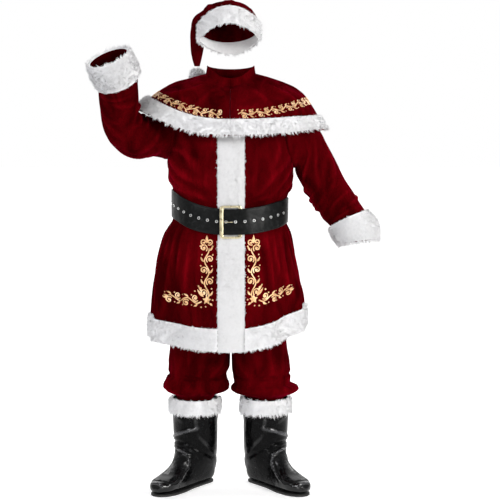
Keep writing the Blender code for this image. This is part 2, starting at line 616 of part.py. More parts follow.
def make_sleeve(name, table, side, folds):
    at = np.array(SLEEVE_ROWS)
    outer = sleeve_grid(table, side, folds, at)
    normal = grid_normals(outer)
    inner = outer - normal * VELVET
    inner[0] = armhole_ring(side, 2 * SEAM, VELVET)
    wall(name, outer, inner, velvet(), around=True)
    under, normal = outer[-CUFF_ROWS:], normal[-CUFF_ROWS:]
    pile = np.array([TRIM_EDGE, 1, 1, TRIM_EDGE])[:, None, None] * CUFF_PILE
    cuff = name.replace("sleeve", "cuff_fur")
    wall(cuff, under + normal * (CUFF_CLEAR + pile), under + normal * CUFF_CLEAR, plush(), around=True)


def make_cape():
    s = np.array(CAPE_ROWS)[:, None]
    gap = np.degrees(SEAM / 2 / NECK_RADIUS)
    angles = np.linspace(gap, 360 - gap, CAPE_COLUMNS)[None]
    outer = lifted(cape_form, angles, s, 0.0, CAPE_STEP, -1)
    wall("cape", outer, lifted(cape_form, angles, s, -VELVET, CAPE_STEP, -1), velvet())
    across, pile = np.array(CAPE_FUR_ROWS).T[..., None]
    top = by_side(angles, **CAPE_FUR_TOP)
    low = top + (1 - top) * across
    outer = lifted(cape_form, angles, low, CAPE_CLEAR + pile * CAPE_PILE, CAPE_STEP, -1)
    inner = lifted(cape_form, angles, low, CAPE_CLEAR, CAPE_STEP, -1)
    wall("cape_hem_fur", outer, inner, plush())


def make_neckband():
    gap = np.degrees(SEAM / 2 / NECK_RADIUS)
    angles = np.linspace(gap, 360 - gap, NECKBAND_COLUMNS)[None]
    base = cape_form(angles, np.zeros((len(NECKBAND_ROWS), 1)))
    flat = base * np.array([1, 1, 0])
    rise, lean = np.array(NECKBAND_ROWS).T[..., None, None]
    outer = base - unit(flat) * lean + rise * np.array([0, 0, 1])
    wall("cape_neckband", outer, outer - unit(flat) * VELVET, velvet())


def belt_middle(angle):
    """The height of the belt's middle line."""
    return by_side(angle, front=BELT_FRONT, **BELT_SIDES)


def belt_lift(angle):
    """How far the strap's inner face stands off the coat, round its whole length."""
    over = 1 - ease(np.abs(turn_between(angle, 0)), *BELT_DROPS)
    first = BELT_LIFT + (BELT_OVER_PLACKET - BELT_LIFT) * over
    return first + BELT_OVERLAP * ease(angle, *BELT_CLIMBS)


def belt_face(angle, share, lift):
    """A point of the belt, straight from edge to edge: share is -1 at its lower edge, 1 at its upper."""
    low = lifted(coat_form, angle, belt_middle(angle) - BELT_TALL / 2, lift)
    high = lifted(coat_form, angle, belt_middle(angle) + BELT_TALL / 2, lift)
    return low + (high - low) * (np.asarray(share)[..., None] + 1) / 2


def make_belt():
    angle = BELT_START + BELT_STEP * np.arange(BELT_COLUMNS)[None]
    end = angle[0, -1]
    tip = np.clip((angle - end + BELT_TIP) / BELT_TIP, 0, 1)
    share = np.array([-1, -0.36, 0.36, 1])[:, None] * np.sqrt(1 - 0.75 * tip**2)
    inner = belt_face(angle, share, belt_lift(angle))
    outer = belt_face(angle, share, belt_lift(angle) + LEATHER)
    wall("belt_strap", outer, inner, leather())


def rounded_rectangle(wide, tall, radius, steps=4):
    """Points round a rectangle with round corners, centred on the origin."""
    points = []
    for quarter, (sx, sz) in enumerate(((1, 1), (-1, 1), (-1, -1), (1, -1))):
        for k in range(steps + 1):
            turn = (quarter + k / steps) * np.pi / 2
            x = sx * (wide / 2 - radius) + radius * np.cos(turn)
            points.append((x, sz * (tall / 2 - radius) + radius * np.sin(turn)))
    return np.array(points)


def buckle_lift(x, down):
    """The middle of the frame off the coat: its left bar lies over the strap, its right one under."""
    share = (x - BUCKLE_X) / BUCKLE_WIDE + 0.5
    return BUCKLE_LIFT_LEFT + (BUCKLE_LIFT_RIGHT - BUCKLE_LIFT_LEFT) * share + BUCKLE_LEAN * down


def make_buckle():
    front = coat_form(0.0, BELT_FRONT)
    rings = []
    for share, out in BUCKLE_SECTION:
        wide = BUCKLE_WIDE - 2 * share * BUCKLE_BAR
        tall = BUCKLE_TALL - 2 * share * BUCKLE_END
        outline = rounded_rectangle(wide, tall, BUCKLE_CORNER + (BUCKLE_WINDOW - BUCKLE_CORNER) * share)
        x, z = outline[:, 0] + BUCKLE_X, outline[:, 1] + front[2]
        lift = buckle_lift(x, -outline[:, 1]) + out * BUCKLE_THICK / 2
        rings.append(np.stack([x, front[1] - lift, z], axis=-1))
    count, sides = len(rings), len(rings[0])
    faces = [
        (r * sides + k, r * sides + (k + 1) % sides,
         (r + 1) % count * sides + (k + 1) % sides, (r + 1) % count * sides + k)
        for r in range(count) for k in range(sides)
    ]
    mesh_from("belt_buckle", np.concatenate(rings), faces, gold_metal())


def make_prong():
    """The end of the prong: out of an eyelet in the strap and onto the frame's left bar."""
    front = coat_form(0.0, BELT_FRONT)
    curve = bpy.data.curves.new("belt_prong", "CURVE")
    curve.dimensions = "3D"
    curve.bevel_depth = PRONG_RADIUS
    curve.bevel_resolution = 2
    curve.use_fill_caps = True
    line = curve.splines.new("POLY")
    line.points.add(len(PRONG) - 1)
    for point, (x, lift) in zip(line.points, PRONG):
        point.co = (x, front[1] - lift, front[2], 1)
    made = bpy.data.objects.new("belt_prong", curve)
    made.location = -SHOULDERS
    curve.materials.append(gold_metal())
    bpy.data.collections[COLLECTION].objects.link(made)


def trouser_point(angle, z, table, side):
    """angle 0 is the outer side, -90 the front, 90 the back and 180 the inside leg."""
    leg = read(table, np.minimum(z, LEG_TOP))
    centre, half = (leg.inner + leg.outer) / 2, np.abs(leg.outer - leg.inner) / 2
    sine, cosine = np.sin(np.radians(angle)), np.cos(np.radians(angle))
    depth = np.where(sine < 0, leg.front, leg.back)
    lower = np.stack(np.broadcast_arrays(centre + side * half * cosine, depth * sine, z), axis=-1)
    up = ease(z, 0.84, WAIST_Z)
    width = HIP_HALF + (WAIST_HALF - HIP_HALF) * up
    front = HIP_FRONT + (WAIST_FRONT - HIP_FRONT) * up
    back = HIP_BACK + (WAIST_BACK - HIP_BACK) * up
    hip_sine, hip_cosine = np.sin(np.radians(angle / 2)), np.cos(np.radians(angle / 2))
    hip_y = np.where(hip_sine < 0, front, back) * hip_sine
    x = side * (width * hip_cosine + SEAM / 2)
    upper = np.stack(np.broadcast_arrays(x, hip_y, z), axis=-1)
    joined = 1 - ease(z, CROTCH, RISE_TOP)[..., None]
    return upper * (1 - joined) + lower * joined


def make_trousers(name, table, side):
    z = np.array([*(row.z for row in table[:10]), *LEG_ROWS, WAIST_Z])
    turn = np.degrees(SEAM / 2 / read(table, np.minimum(z, LEG_TOP)).front)
    angles = (180 - turn)[:, None] * np.linspace(-1, 1, LEG_COLUMNS)

    def form(angle, height):
        return trouser_point(angle, height, table, side)

    outer = lifted(form, angles, z[:, None], 0.0, LEG_STEP, side)
    inner = lifted(form, angles, z[:, None], -VELVET, LEG_STEP, side)
    wall(name, outer, inner, velvet())


def boot_grid(at, heel, toe_out, lift=0.0):
    """Rings down the shaft and along the foot."""
    row = read(BOOT, at)
    turn = np.arange(BOOT_SIDES) * 2 * np.pi / BOOT_SIDES
    cosine, sine = np.cos(turn)[None], np.sin(turn)[None]
    power = 2 / row.square[:, None]
    up = np.sign(cosine) * np.abs(cosine) ** power
    out = np.sign(sine) * np.abs(sine) ** power
    y = ((row.top_y + row.low_y)[:, None] + (row.top_y - row.low_y)[:, None] * up) / 2
    z = ((row.top_z + row.low_z)[:, None] + (row.top_z - row.low_z)[:, None] * up) / 2
    grid = np.stack([row.half[:, None] * out, y, z], axis=-1)
    if np.any(lift):
        grid = grid + grid_normals(grid) * lift
    return place_foot(grid, heel, toe_out)


def place_foot(points, heel, toe_out):
    turn = np.radians(toe_out)
    x = points[..., 0] * np.cos(turn) - points[..., 1] * np.sin(turn)
    y = points[..., 0] * np.sin(turn) + points[..., 1] * np.cos(turn)
    return np.stack([x + heel[0], y + heel[1], points[..., 2]], axis=-1)


def make_boot(side_name, heel, toe_out):
    at = np.array([row.t for row in BOOT])
    outer = boot_grid(at, heel, toe_out)
    inner = boot_grid(at, heel, toe_out, -LEATHER * (1 - 0.5 * ease(at, 12, 14)[:, None, None]))
    cup("boot_" + side_name, outer, inner, leather())
    top, pile = np.array(BOOT_FUR_ROWS).T
    wall(
        "boot_fur_" + side_name,
        boot_grid(top, heel, toe_out, BOOT_CLEAR + pile[:, None, None] * BOOT_PILE),
        boot_grid(top, heel, toe_out, BOOT_CLEAR),
        plush(),
        around=True,
    )
    outline = [(w, y) for y, w in SOLE_ROWS] + [(-w, y) for y, w in reversed(SOLE_ROWS)]
    flat = np.array([(x, y, 0.0) for x, y in outline])
    count = len(flat)
    points = np.concatenate([flat, flat + (0, 0, SOLE)])
    faces = [tuple(range(count)), tuple(range(count, 2 * count))]
    faces += [(k, (k + 1) % count, (k + 1) % count + count, k + count) for k in range(count)]
    mesh_from("boot_sole_" + side_name, place_foot(points, heel, toe_out), faces, rubber())


def make_hat():
    angle = np.arange(HAT_SIDES) * 360 / HAT_SIDES
    low = by_side(angle, **HAT_BAND_LOW)
    x, y = oval(angle, HAT_BAND_HALF, HAT_BAND_HALF, HAT_BAND_FRONT, HAT_BAND_BACK, 2.1)
    rim = np.stack([x + HAT_CENTRE[0], y + HAT_CENTRE[1], low], axis=-1)
    out = unit(np.stack([x, y, 0 * x], axis=-1))
    outer = np.array([
        rim + (0, 0, rise * HAT_BAND_TALL) - out * HAT_PILE * (1 - pile) for rise, pile in HAT_BAND_ROWS
    ])
    inner = np.array([rim + (0, 0, rise * HAT_BAND_TALL) - out * HAT_PILE for rise, _ in HAT_BAND_ROWS])
    wall("hat_band", outer, inner, plush(), around=True)
    at = np.array([row.t for row in CROWN])
    grid = ring_grid(CROWN, at, CROWN_SIDES, -1)
    thin = VELVET * (1 - 0.3 * ease(at, 10, 12)[:, None, None])
    cup("hat_crown", grid, grid - grid_normals(grid) * thin, velvet())
    ball = bmesh.new()
    bmesh.ops.create_uvsphere(ball, u_segments=16, v_segments=10, radius=POMPOM_RADIUS)
    mesh = bpy.data.meshes.new("hat_pompom")
    ball.to_mesh(mesh)
    ball.free()
    add_object("hat_pompom", mesh, plush()).location = np.array(POMPOM_AT) - SHOULDERS


def clear_scene():
    for old in list(bpy.data.objects):
        bpy.data.objects.remove(old, do_unlink=True)


def main():
    clear_scene()
    bpy.context.scene.collection.children.link(bpy.data.collections.new(COLLECTION))
    make_coat()
    make_placket()
    make_hem_fur()
    make_sleeve("sleeve_left", SLEEVE_LEFT, -1, ELBOW_LEFT)
    make_sleeve("sleeve_right", SLEEVE_RIGHT, 1, ELBOW_RIGHT)
    make_cape()
    make_neckband()
    make_belt()
    make_buckle()
    make_prong()
    make_trousers("trouser_left", LEG_LEFT, -1)
    make_trousers("trouser_right", LEG_RIGHT, 1)
    make_boot("left", HEEL_LEFT, -TOE_OUT_LEFT)
    make_boot("right", HEEL_RIGHT, TOE_OUT_RIGHT)
    make_hat()


if __name__ == "__main__":
    main()
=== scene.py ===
"""Santa suit, dressed over its frame: velvet, plush trims, belt, printed scrolls, boots and hat.

Heights in the tables are measured from the soles. The suit's origin is at the shoulders.
+X is to the right of someone facing the suit, and the front faces -Y. Metres, +Z up.
"""

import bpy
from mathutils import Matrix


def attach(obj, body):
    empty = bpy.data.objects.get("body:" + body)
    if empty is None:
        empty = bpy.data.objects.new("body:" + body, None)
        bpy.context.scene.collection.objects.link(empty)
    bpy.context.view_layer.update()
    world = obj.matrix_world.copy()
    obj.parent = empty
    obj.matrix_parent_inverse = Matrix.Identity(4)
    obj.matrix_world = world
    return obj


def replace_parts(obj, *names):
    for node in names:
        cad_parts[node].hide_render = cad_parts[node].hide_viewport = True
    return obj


bl_info = {
    "name": "Santa Suit",
    "version": (1, 0, 0),
    "blender": (4, 5, 0),
    "location": "3D View > Sidebar > Santa Suit",
    "description": "Builds a velvet santa suit with plush trims, piece by piece",
    "category": "Object",
}

from collections import namedtuple

import bpy
import numpy as np
from bpy.props import FloatProperty, FloatVectorProperty, PointerProperty

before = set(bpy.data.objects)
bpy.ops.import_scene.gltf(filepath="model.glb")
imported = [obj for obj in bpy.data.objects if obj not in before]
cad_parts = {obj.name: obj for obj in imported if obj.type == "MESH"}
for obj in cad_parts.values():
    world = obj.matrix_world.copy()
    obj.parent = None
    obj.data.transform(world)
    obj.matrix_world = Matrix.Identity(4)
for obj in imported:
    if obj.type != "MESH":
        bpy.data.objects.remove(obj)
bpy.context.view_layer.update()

SHOULDERS = np.array([0.0, 0.0, 1.5])  # the origin, measured from the soles
SLEEVE_SIDES = 80

# Walls and gaps
SEAM = 0.0003  # between pieces that are sewn together
CUFF_CLEAR = 0.0012
CAPE_CLEAR = 0.0016
VELVET = 0.0022
LEATHER = 0.003
CLEAR = 0.0005  # between a trim and the cloth under it
SOLE = 0.009

# Coat
PLACKET_LEFT, PLACKET_RIGHT = 0.047, 0.053  # its edges, to each side of the middle
PLACKET_PILE = 0.007
PLACKET_PRESSED = 0.0026  # where the belt flattens its pile
HEM_LOW = 0.55  # nominal height of the coat's bottom edge
HEM_BAND = 0.085
HEM_PILE = 0.012
SKIRT_TOP = 0.95
ARMHOLE_LOW = 1.225
ARMHOLE_HIGH = 1.50
RAISED_ARM_PULL = 0.033  # how far the raised arm draws the coat up under it
ARMHOLE_TURN = 32.0  # half the opening's width, in degrees round the body
ARMHOLE_REACH = 0.2  # from the middle of the body to the opening
NECK_HIGH = 1.55
HEM_TILT = dict(front=-0.004, right=0.070, back=0.050, left=0.030)  # how far the hem rises
NECK_DIP = dict(front=-0.030, right=0.0, back=0.0, left=0.0)
FLUTE_X, FLUTE_Y = 0.26, 0.22  # half width and depth of the skirt that the flutes are drawn on

# Belt and buckle
BELT_TALL = 0.098
BELT_FRONT = 1.025  # height of its middle line at the front
BELT_SIDES = dict(right=1.065, back=1.083, left=1.089)
BELT_LIFT = 0.0034
BELT_OVER_PLACKET = 0.0066
BELT_OVERLAP = 0.0048  # its free end over its fixed end
BELT_START, BELT_FINISH = 16.0, 432.0  # degrees from the front
BELT_TIP = 12.0  # degrees over which its free end is rounded
BELT_DROPS = (13, 24)  # degrees from the middle over which it comes down off the placket
BELT_CLIMBS = (348, 368)  # degrees over which its free end rises over its fixed end
BUCKLE_WIDE = 0.083
BUCKLE_TALL = 0.122
BUCKLE_BAR = 0.014
BUCKLE_END = 0.008
BUCKLE_THICK = 0.0045
BUCKLE_X = 0.0025
BUCKLE_CORNER, BUCKLE_WINDOW = 0.012, 0.004  # radii of its outer and inner corners
BUCKLE_LIFT_LEFT, BUCKLE_LIFT_RIGHT = 0.0184, 0.0078
BUCKLE_LEAN = 0.036  # how much further out its foot stands, for each metre down
PRONG_RADIUS = 0.0017
PRONG = ((0.006, 0.0185), (-0.008, 0.0196), (-0.022, 0.0212), (-0.037, 0.0228))  # x and lift

# Trims
CUFF_PILE = 0.021
BOOT_PILE = 0.019
CAPE_PILE = 0.012
HAT_PILE = 0.016
POMPOM_RADIUS = 0.033

Body = namedtuple("Body", "z left right front back")
Flute = namedtuple("Flute", "angle spread depth")
Cape = namedtuple("Cape", "s left right front back z_front z_right z_back z_left")
Ring = namedtuple("Ring", "t ax ay az bx by bz half")
Leg = namedtuple("Leg", "z inner outer front back")
Foot = namedtuple("Foot", "t top_y top_z low_y low_z half square")
Fold = namedtuple("Fold", "t angle long wide depth slant")

# Half widths and depths of the coat, from hem to neck
COAT = (
    Body(0.55, 0.309, 0.282, 0.226, 0.205),
    Body(0.65, 0.304, 0.277, 0.218, 0.198),
    Body(0.75, 0.297, 0.260, 0.207, 0.187),
    Body(0.85, 0.283, 0.246, 0.194, 0.171),
    Body(0.92, 0.268, 0.236, 0.183, 0.157),
    Body(0.97, 0.254, 0.228, 0.175, 0.146),
    Body(1.00, 0.238, 0.219, 0.171, 0.138),
    Body(1.03, 0.222, 0.209, 0.169, 0.134),
    Body(1.09, 0.217, 0.209, 0.171, 0.136),
    Body(1.125, 0.218, 0.219, 0.175, 0.141),
    Body(1.15, 0.226, 0.230, 0.178, 0.145),
    Body(1.18, 0.238, 0.236, 0.179, 0.147),
    Body(1.225, 0.241, 0.239, 0.176, 0.147),
    Body(1.30, 0.238, 0.238, 0.168, 0.146),
    Body(1.38, 0.229, 0.229, 0.155, 0.138),
    Body(1.44, 0.216, 0.216, 0.138, 0.125),
    Body(1.48, 0.200, 0.200, 0.122, 0.112),
    Body(1.505, 0.178, 0.178, 0.108, 0.100),
    Body(1.53, 0.136, 0.136, 0.092, 0.087),
    Body(1.55, 0.090, 0.090, 0.078, 0.073),
)

# Soft upright folds of the skirt: where they run, how wide, and how far out or in
FLUTES = (
    Flute(-100, 9, 0.009), Flute(-80, 8, -0.007), Flute(-62, 9, 0.013), Flute(-40, 9, -0.010),
    Flute(30, 8, 0.005), Flute(48, 9, -0.010), Flute(66, 9, 0.012), Flute(84, 8, -0.006),
    Flute(101, 9, 0.010), Flute(121, 9, -0.008), Flute(141, 10, 0.011), Flute(161, 9, -0.007),
    Flute(180, 10, 0.009), Flute(200, 9, -0.008), Flute(221, 10, 0.011), Flute(242, 9, -0.007),
)

# The cape from neck to hem
CAPE = (
    Cape(0.0, 0.096, 0.096, 0.098, 0.088, 1.530, 1.582, 1.575, 1.582),
    Cape(0.2, 0.146, 0.150, 0.131, 0.118, 1.508, 1.567, 1.552, 1.568),
    Cape(0.4, 0.205, 0.216, 0.161, 0.146, 1.475, 1.541, 1.514, 1.550),
    Cape(0.6, 0.262, 0.270, 0.184, 0.168, 1.438, 1.507, 1.470, 1.518),
    Cape(0.8, 0.308, 0.322, 0.197, 0.182, 1.400, 1.438, 1.425, 1.488),
    Cape(1.0, 0.352, 0.358, 0.206, 0.192, 1.342, 1.370, 1.363, 1.446),
)
CAPE_OVER_ARM = Flute(-54, 17, 0.034)  # the raised arm pushes the cape out
CAPE_ARM_REACH, CAPE_ARM_RISE = 0.28, 0.18  # the radius the push is a share of, and how it lifts the hem
CAPE_FUR_TOP = dict(front=0.79, right=0.85, back=0.80, left=0.79)  # share where the plush starts
CAPE_STEP = (0.4, 0.004)  # the small steps that find its slope
NECK_RADIUS = 0.09

# Sleeves: a is the point on the upper or crook side of each section, b the point opposite
SLEEVE_LEFT = (
    Ring(0.0, -0.190, -0.002, 1.490, -0.243, -0.002, 1.258, 0.090),
    Ring(1.0, -0.236, -0.010, 1.450, -0.252, -0.010, 1.264, 0.086),
    Ring(2.0, -0.282, -0.028, 1.430, -0.284, -0.030, 1.264, 0.081),
    Ring(3.0, -0.314, -0.060, 1.422, -0.334, -0.066, 1.262, 0.079),
    Ring(4.0, -0.335, -0.098, 1.425, -0.387, -0.106, 1.274, 0.078),
    Ring(5.0, -0.341, -0.136, 1.438, -0.434, -0.144, 1.308, 0.076),
    Ring(6.0, -0.339, -0.170, 1.464, -0.464, -0.174, 1.362, 0.074),
    Ring(7.0, -0.336, -0.202, 1.498, -0.475, -0.205, 1.425, 0.072),
    Ring(8.0, -0.335, -0.232, 1.534, -0.476, -0.234, 1.478, 0.070),
    Ring(9.0, -0.335, -0.258, 1.566, -0.474, -0.258, 1.514, 0.069),
    Ring(10.0, -0.350, -0.280, 1.607, -0.486, -0.280, 1.554, 0.070),
    Ring(11.0, -0.367, -0.298, 1.643, -0.499, -0.298, 1.592, 0.070),
)
SLEEVE_RIGHT = (
    Ring(0.0, 0.190, 0.004, 1.490, 0.241, 0.004, 1.235, 0.090),
    Ring(1.0, 0.246, 0.006, 1.475, 0.246, 0.006, 1.220, 0.092),
    Ring(2.0, 0.299, 0.010, 1.430, 0.248, 0.008, 1.210, 0.092),
    Ring(3.0, 0.340, 0.013, 1.366, 0.252, 0.012, 1.196, 0.090),
    Ring(4.0, 0.375, 0.016, 1.303, 0.267, 0.015, 1.168, 0.086),
    Ring(5.0, 0.407, 0.017, 1.240, 0.287, 0.016, 1.131, 0.082),
    Ring(6.0, 0.436, 0.016, 1.182, 0.303, 0.014, 1.095, 0.079),
    Ring(7.0, 0.463, 0.010, 1.141, 0.323, 0.008, 1.061, 0.076),
    Ring(8.0, 0.489, 0.002, 1.102, 0.350, 0.000, 1.031, 0.074),
    Ring(9.0, 0.516, -0.006, 1.057, 0.382, -0.008, 0.999, 0.073),
    Ring(10.0, 0.552, -0.012, 1.002, 0.399, -0.014, 0.965, 0.073),
    Ring(11.0, 0.555, -0.016, 0.953, 0.419, -0.018, 0.938, 0.072),
)
SLEEVE_HEAD = 0.012  # how far the sleeve stands out before it turns along the arm
HEAD_SHARE, HEAD_LIFT = 0.35, 0.0192  # how its first ring blends into the armhole
ELBOW_LEFT = (
    Fold(5.0, 20, 0.7, 34, 0.010, 0.2), Fold(3.4, -25, 0.45, 40, 0.007, -0.3),
    Fold(6.5, 150, 0.5, 40, 0.006, 0.4), Fold(2.0, 150, 0.6, 45, 0.007, 0.3),
)
ELBOW_RIGHT = (
    Fold(5.6, 150, 0.5, 40, 0.009, 0.3), Fold(7.2, 190, 0.5, 45, 0.008, -0.3),
    Fold(4.2, 60, 0.6, 45, 0.006, 0.4), Fold(7.8, 40, 0.5, 40, 0.005, -0.4),
)

# Trouser legs, from the end inside the boot up
LEG_LEFT = (
    Leg(0.300, -0.072, -0.206, 0.067, 0.067), Leg(0.338, -0.072, -0.206, 0.067, 0.067),
    Leg(0.355, -0.058, -0.218, 0.078, 0.078), Leg(0.364, -0.036, -0.236, 0.094, 0.094),
    Leg(0.372, -0.018, -0.250, 0.105, 0.103), Leg(0.382, -0.007, -0.259, 0.111, 0.108),
    Leg(0.394, -0.006, -0.260, 0.113, 0.110), Leg(0.412, -0.012, -0.253, 0.110, 0.108),
    Leg(0.433, -0.017, -0.242, 0.106, 0.105), Leg(0.468, -0.004, -0.235, 0.109, 0.108),
    Leg(0.560, -0.002, -0.233, 0.114, 0.112), Leg(0.680, -0.001, -0.230, 0.120, 0.116),
    Leg(0.800, -0.0004, -0.225, 0.126, 0.120),
)
LEG_RIGHT = (
    Leg(0.300, 0.066, 0.200, 0.067, 0.067), Leg(0.336, 0.066, 0.200, 0.067, 0.067),
    Leg(0.351, 0.052, 0.214, 0.078, 0.078), Leg(0.358, 0.030, 0.234, 0.093, 0.093),
    Leg(0.365, 0.010, 0.250, 0.104, 0.103), Leg(0.376, 0.000, 0.260, 0.111, 0.108),
    Leg(0.387, 0.003, 0.256, 0.112, 0.109), Leg(0.400, 0.013, 0.228, 0.105, 0.104),
    Leg(0.424, 0.008, 0.229, 0.106, 0.105), Leg(0.468, 0.002, 0.221, 0.108, 0.107),
    Leg(0.560, 0.001, 0.214, 0.113, 0.111), Leg(0.680, 0.001, 0.216, 0.119, 0.115),
    Leg(0.800, 0.0004, 0.215, 0.125, 0.119),
)
LEG_TOP = 0.80  # above it the legs keep one shape until they join the hips
LEG_STEP = (0.4, 0.0008)  # the small steps that find the legs' slope
WAIST_Z = 1.06
HIP_HALF, HIP_FRONT, HIP_BACK = 0.205, 0.140, 0.118
WAIST_HALF, WAIST_FRONT, WAIST_BACK = 0.190, 0.135, 0.112
RISE_TOP, CROTCH = 0.86, 0.735

# Boots, along the shaft and then the foot; y is measured from the heel, toe at -y
BOOT = (
    Foot(0.0, -0.180, 0.342, -0.009, 0.342, 0.087, 2.0),
    Foot(1.0, -0.181, 0.288, -0.008, 0.288, 0.088, 2.0),
    Foot(2.0, -0.179, 0.235, -0.008, 0.232, 0.087, 2.0),
    Foot(3.0, -0.177, 0.193, -0.007, 0.178, 0.085, 2.0),
    Foot(4.0, -0.179, 0.163, -0.004, 0.128, 0.080, 2.0),
    Foot(5.0, -0.187, 0.138, -0.001, 0.078, 0.068, 2.1),
    Foot(6.0, -0.200, 0.121, 0.000, 0.036, 0.055, 2.4),
    Foot(7.0, -0.214, 0.106, -0.020, 0.0105, 0.045, 2.8),
    Foot(8.0, -0.230, 0.092, -0.090, 0.0100, 0.042, 3.0),
    Foot(9.0, -0.248, 0.079, -0.165, 0.0100, 0.046, 3.0),
    Foot(10.0, -0.270, 0.067, -0.232, 0.0100, 0.052, 2.9),
    Foot(11.0, -0.294, 0.061, -0.280, 0.0100, 0.051, 2.8),
    Foot(12.0, -0.318, 0.056, -0.312, 0.0105, 0.043, 2.5),
    Foot(13.0, -0.335, 0.046, -0.332, 0.0135, 0.028, 2.2),
    Foot(14.0, -0.342, 0.032, -0.341, 0.0200, 0.010, 2.0),
)
HEEL_LEFT, HEEL_RIGHT = (-0.084, 0.080), (0.078, 0.080)
TOE_OUT_LEFT, TOE_OUT_RIGHT = 35.5, 36.5
BOOT_STEP = (0.6, 0.03)
SOLE_ROWS = (  # distance from the heel and half width
    (-0.002, 0.011), (-0.010, 0.024), (-0.034, 0.034), (-0.080, 0.035), (-0.130, 0.037),
    (-0.180, 0.044), (-0.230, 0.051), (-0.268, 0.051), (-0.302, 0.044), (-0.326, 0.031),
    (-0.339, 0.012),
)

# Hat
HAT_CENTRE = (-0.006, -0.012)
HAT_BAND_HALF, HAT_BAND_FRONT, HAT_BAND_BACK = 0.126, 0.126, 0.128
HAT_BAND_TALL = 0.070
HAT_BAND_LOW = dict(front=1.757, right=1.708, back=1.662, left=1.702)
CROWN = (
    Ring(0.0, 0.069, -0.088, 1.768, -0.081, 0.056, 1.716, 0.106),
    Ring(1.0, 0.069, -0.076, 1.804, -0.081, 0.068, 1.752, 0.104),
    Ring(2.0, 0.058, -0.050, 1.834, -0.084, 0.080, 1.772, 0.097),
    Ring(3.0, 0.030, -0.018, 1.848, -0.088, 0.092, 1.782, 0.085),
    Ring(4.0, -0.008, 0.018, 1.850, -0.093, 0.100, 1.786, 0.0725),
    Ring(5.0, -0.048, 0.054, 1.848, -0.098, 0.107, 1.786, 0.061),
    Ring(6.0, -0.088, 0.090, 1.838, -0.102, 0.112, 1.780, 0.051),
    Ring(7.0, -0.124, 0.120, 1.820, -0.104, 0.116, 1.766, 0.042),
    Ring(8.0, -0.147, 0.143, 1.784, -0.106, 0.120, 1.744, 0.034),
    Ring(9.0, -0.155, 0.156, 1.736, -0.109, 0.124, 1.712, 0.028),
    Ring(10.0, -0.155, 0.160, 1.690, -0.114, 0.128, 1.676, 0.022),
    Ring(11.0, -0.149, 0.158, 1.648, -0.121, 0.134, 1.640, 0.015),
    Ring(12.0, -0.142, 0.154, 1.622, -0.126, 0.140, 1.620, 0.010),
)
POMPOM_AT = (-0.134, 0.147, 1.5845)


def curve_through(keys, values, at):
    """A smooth curve through the values that never overshoots them."""
    keys, values = np.asarray(keys, float), np.asarray(values, float)
    step = np.diff(keys)
    slope = np.diff(values) / step
    tangent = np.zeros(len(keys))
    same = slope[1:] * slope[:-1] > 0
    tangent[1:-1][same] = 2 * slope[1:][same] * slope[:-1][same] / (slope[1:] + slope[:-1])[same]
    tangent[0], tangent[-1] = slope[0], slope[-1]
    at = np.clip(np.asarray(at, float), keys[0], keys[-1])
    i = np.clip(np.searchsorted(keys, at, side="right") - 1, 0, len(step) - 1)
    s = (at - keys[i]) / step[i]
    return (
        values[i] * (1 + 2 * s) * (1 - s) ** 2
        + values[i + 1] * (3 - 2 * s) * s**2
        + tangent[i] * step[i] * s * (1 - s) ** 2
        - tangent[i + 1] * step[i] * s**2 * (1 - s)
    )


def read(table, at):
    """The table's columns at a value of its first column."""
    names = table[0]._fields
    keys = [row[0] for row in table]
    columns = [curve_through(keys, [row[n] for row in table], at) for n in range(1, len(names))]
    return namedtuple("At", names[1:])(*columns)


def ease(at, start, end):
    """0 before start, 1 after end, smooth between them."""
    s = np.clip((np.asarray(at, float) - start) / (end - start), 0, 1)
    return s * s * (3 - 2 * s)


def bump(at, centre, spread):
    """1 at the centre, falling smoothly to 0."""
    return np.exp(-(((np.asarray(at, float) - centre) / spread) ** 2))


def turn_between(a, b):
    """The angle from b to a, within half a turn."""
    return (np.asarray(a, float) - b + 180) % 360 - 180


def oval(angle, left, right, front, back, square=2.25):
    """A point of an oval plan: angle 0 is the front and 90 the right."""
    sine, cosine = np.sin(np.radians(angle)), np.cos(np.radians(angle))
    x = np.where(sine < 0, left, right) * np.sign(sine) * np.abs(sine) ** (2 / square)
    y = -np.where(cosine > 0, front, back) * np.sign(cosine) * np.abs(cosine) ** (2 / square)
    return x, y


def by_side(angle, front, right, back, left):
    """A value that changes smoothly from one side of the body to the next."""
    sine, cosine = np.sin(np.radians(angle)), np.cos(np.radians(angle))
    return np.where(cosine > 0, front, back) * cosine**2 + np.where(sine > 0, right, left) * sine**2


def body_square(height):
    """How square the coat's plan is: rounder at the hem."""
    return 2.05 + 0.2 * ease(height, 0.7, 1.1)


def coat_form(angle, height):
    """The coat's outer surface at an angle round the body and a nominal height."""
    angle, height = np.broadcast_arrays(np.asarray(angle, float), np.asarray(height, float))
    body = read(COAT, height)
    swing = 1 - ease(height, HEM_LOW + 0.08, SKIRT_TOP + 0.06)
    fold = sum(f.depth * bump(turn_between(angle, f.angle), 0, f.spread) for f in FLUTES) * swing
    x, y = oval(angle, body.left, body.right, body.front, body.back, body_square(height))
    x, y = x * (1 + fold / FLUTE_X), y * (1 + fold / FLUTE_Y)
    tilt = by_side(angle, **HEM_TILT) * (1 - ease(height, 0.64, SKIRT_TOP))
    dip = by_side(angle, **NECK_DIP) * ease(height, ARMHOLE_HIGH, NECK_HIGH)
    drawn_up = by_side(angle, 0.0, 0.0, 0.0, RAISED_ARM_PULL) * bump(height, ARMHOLE_LOW, 0.07)
    return np.stack([x, y, height + tilt + dip + drawn_up], axis=-1)


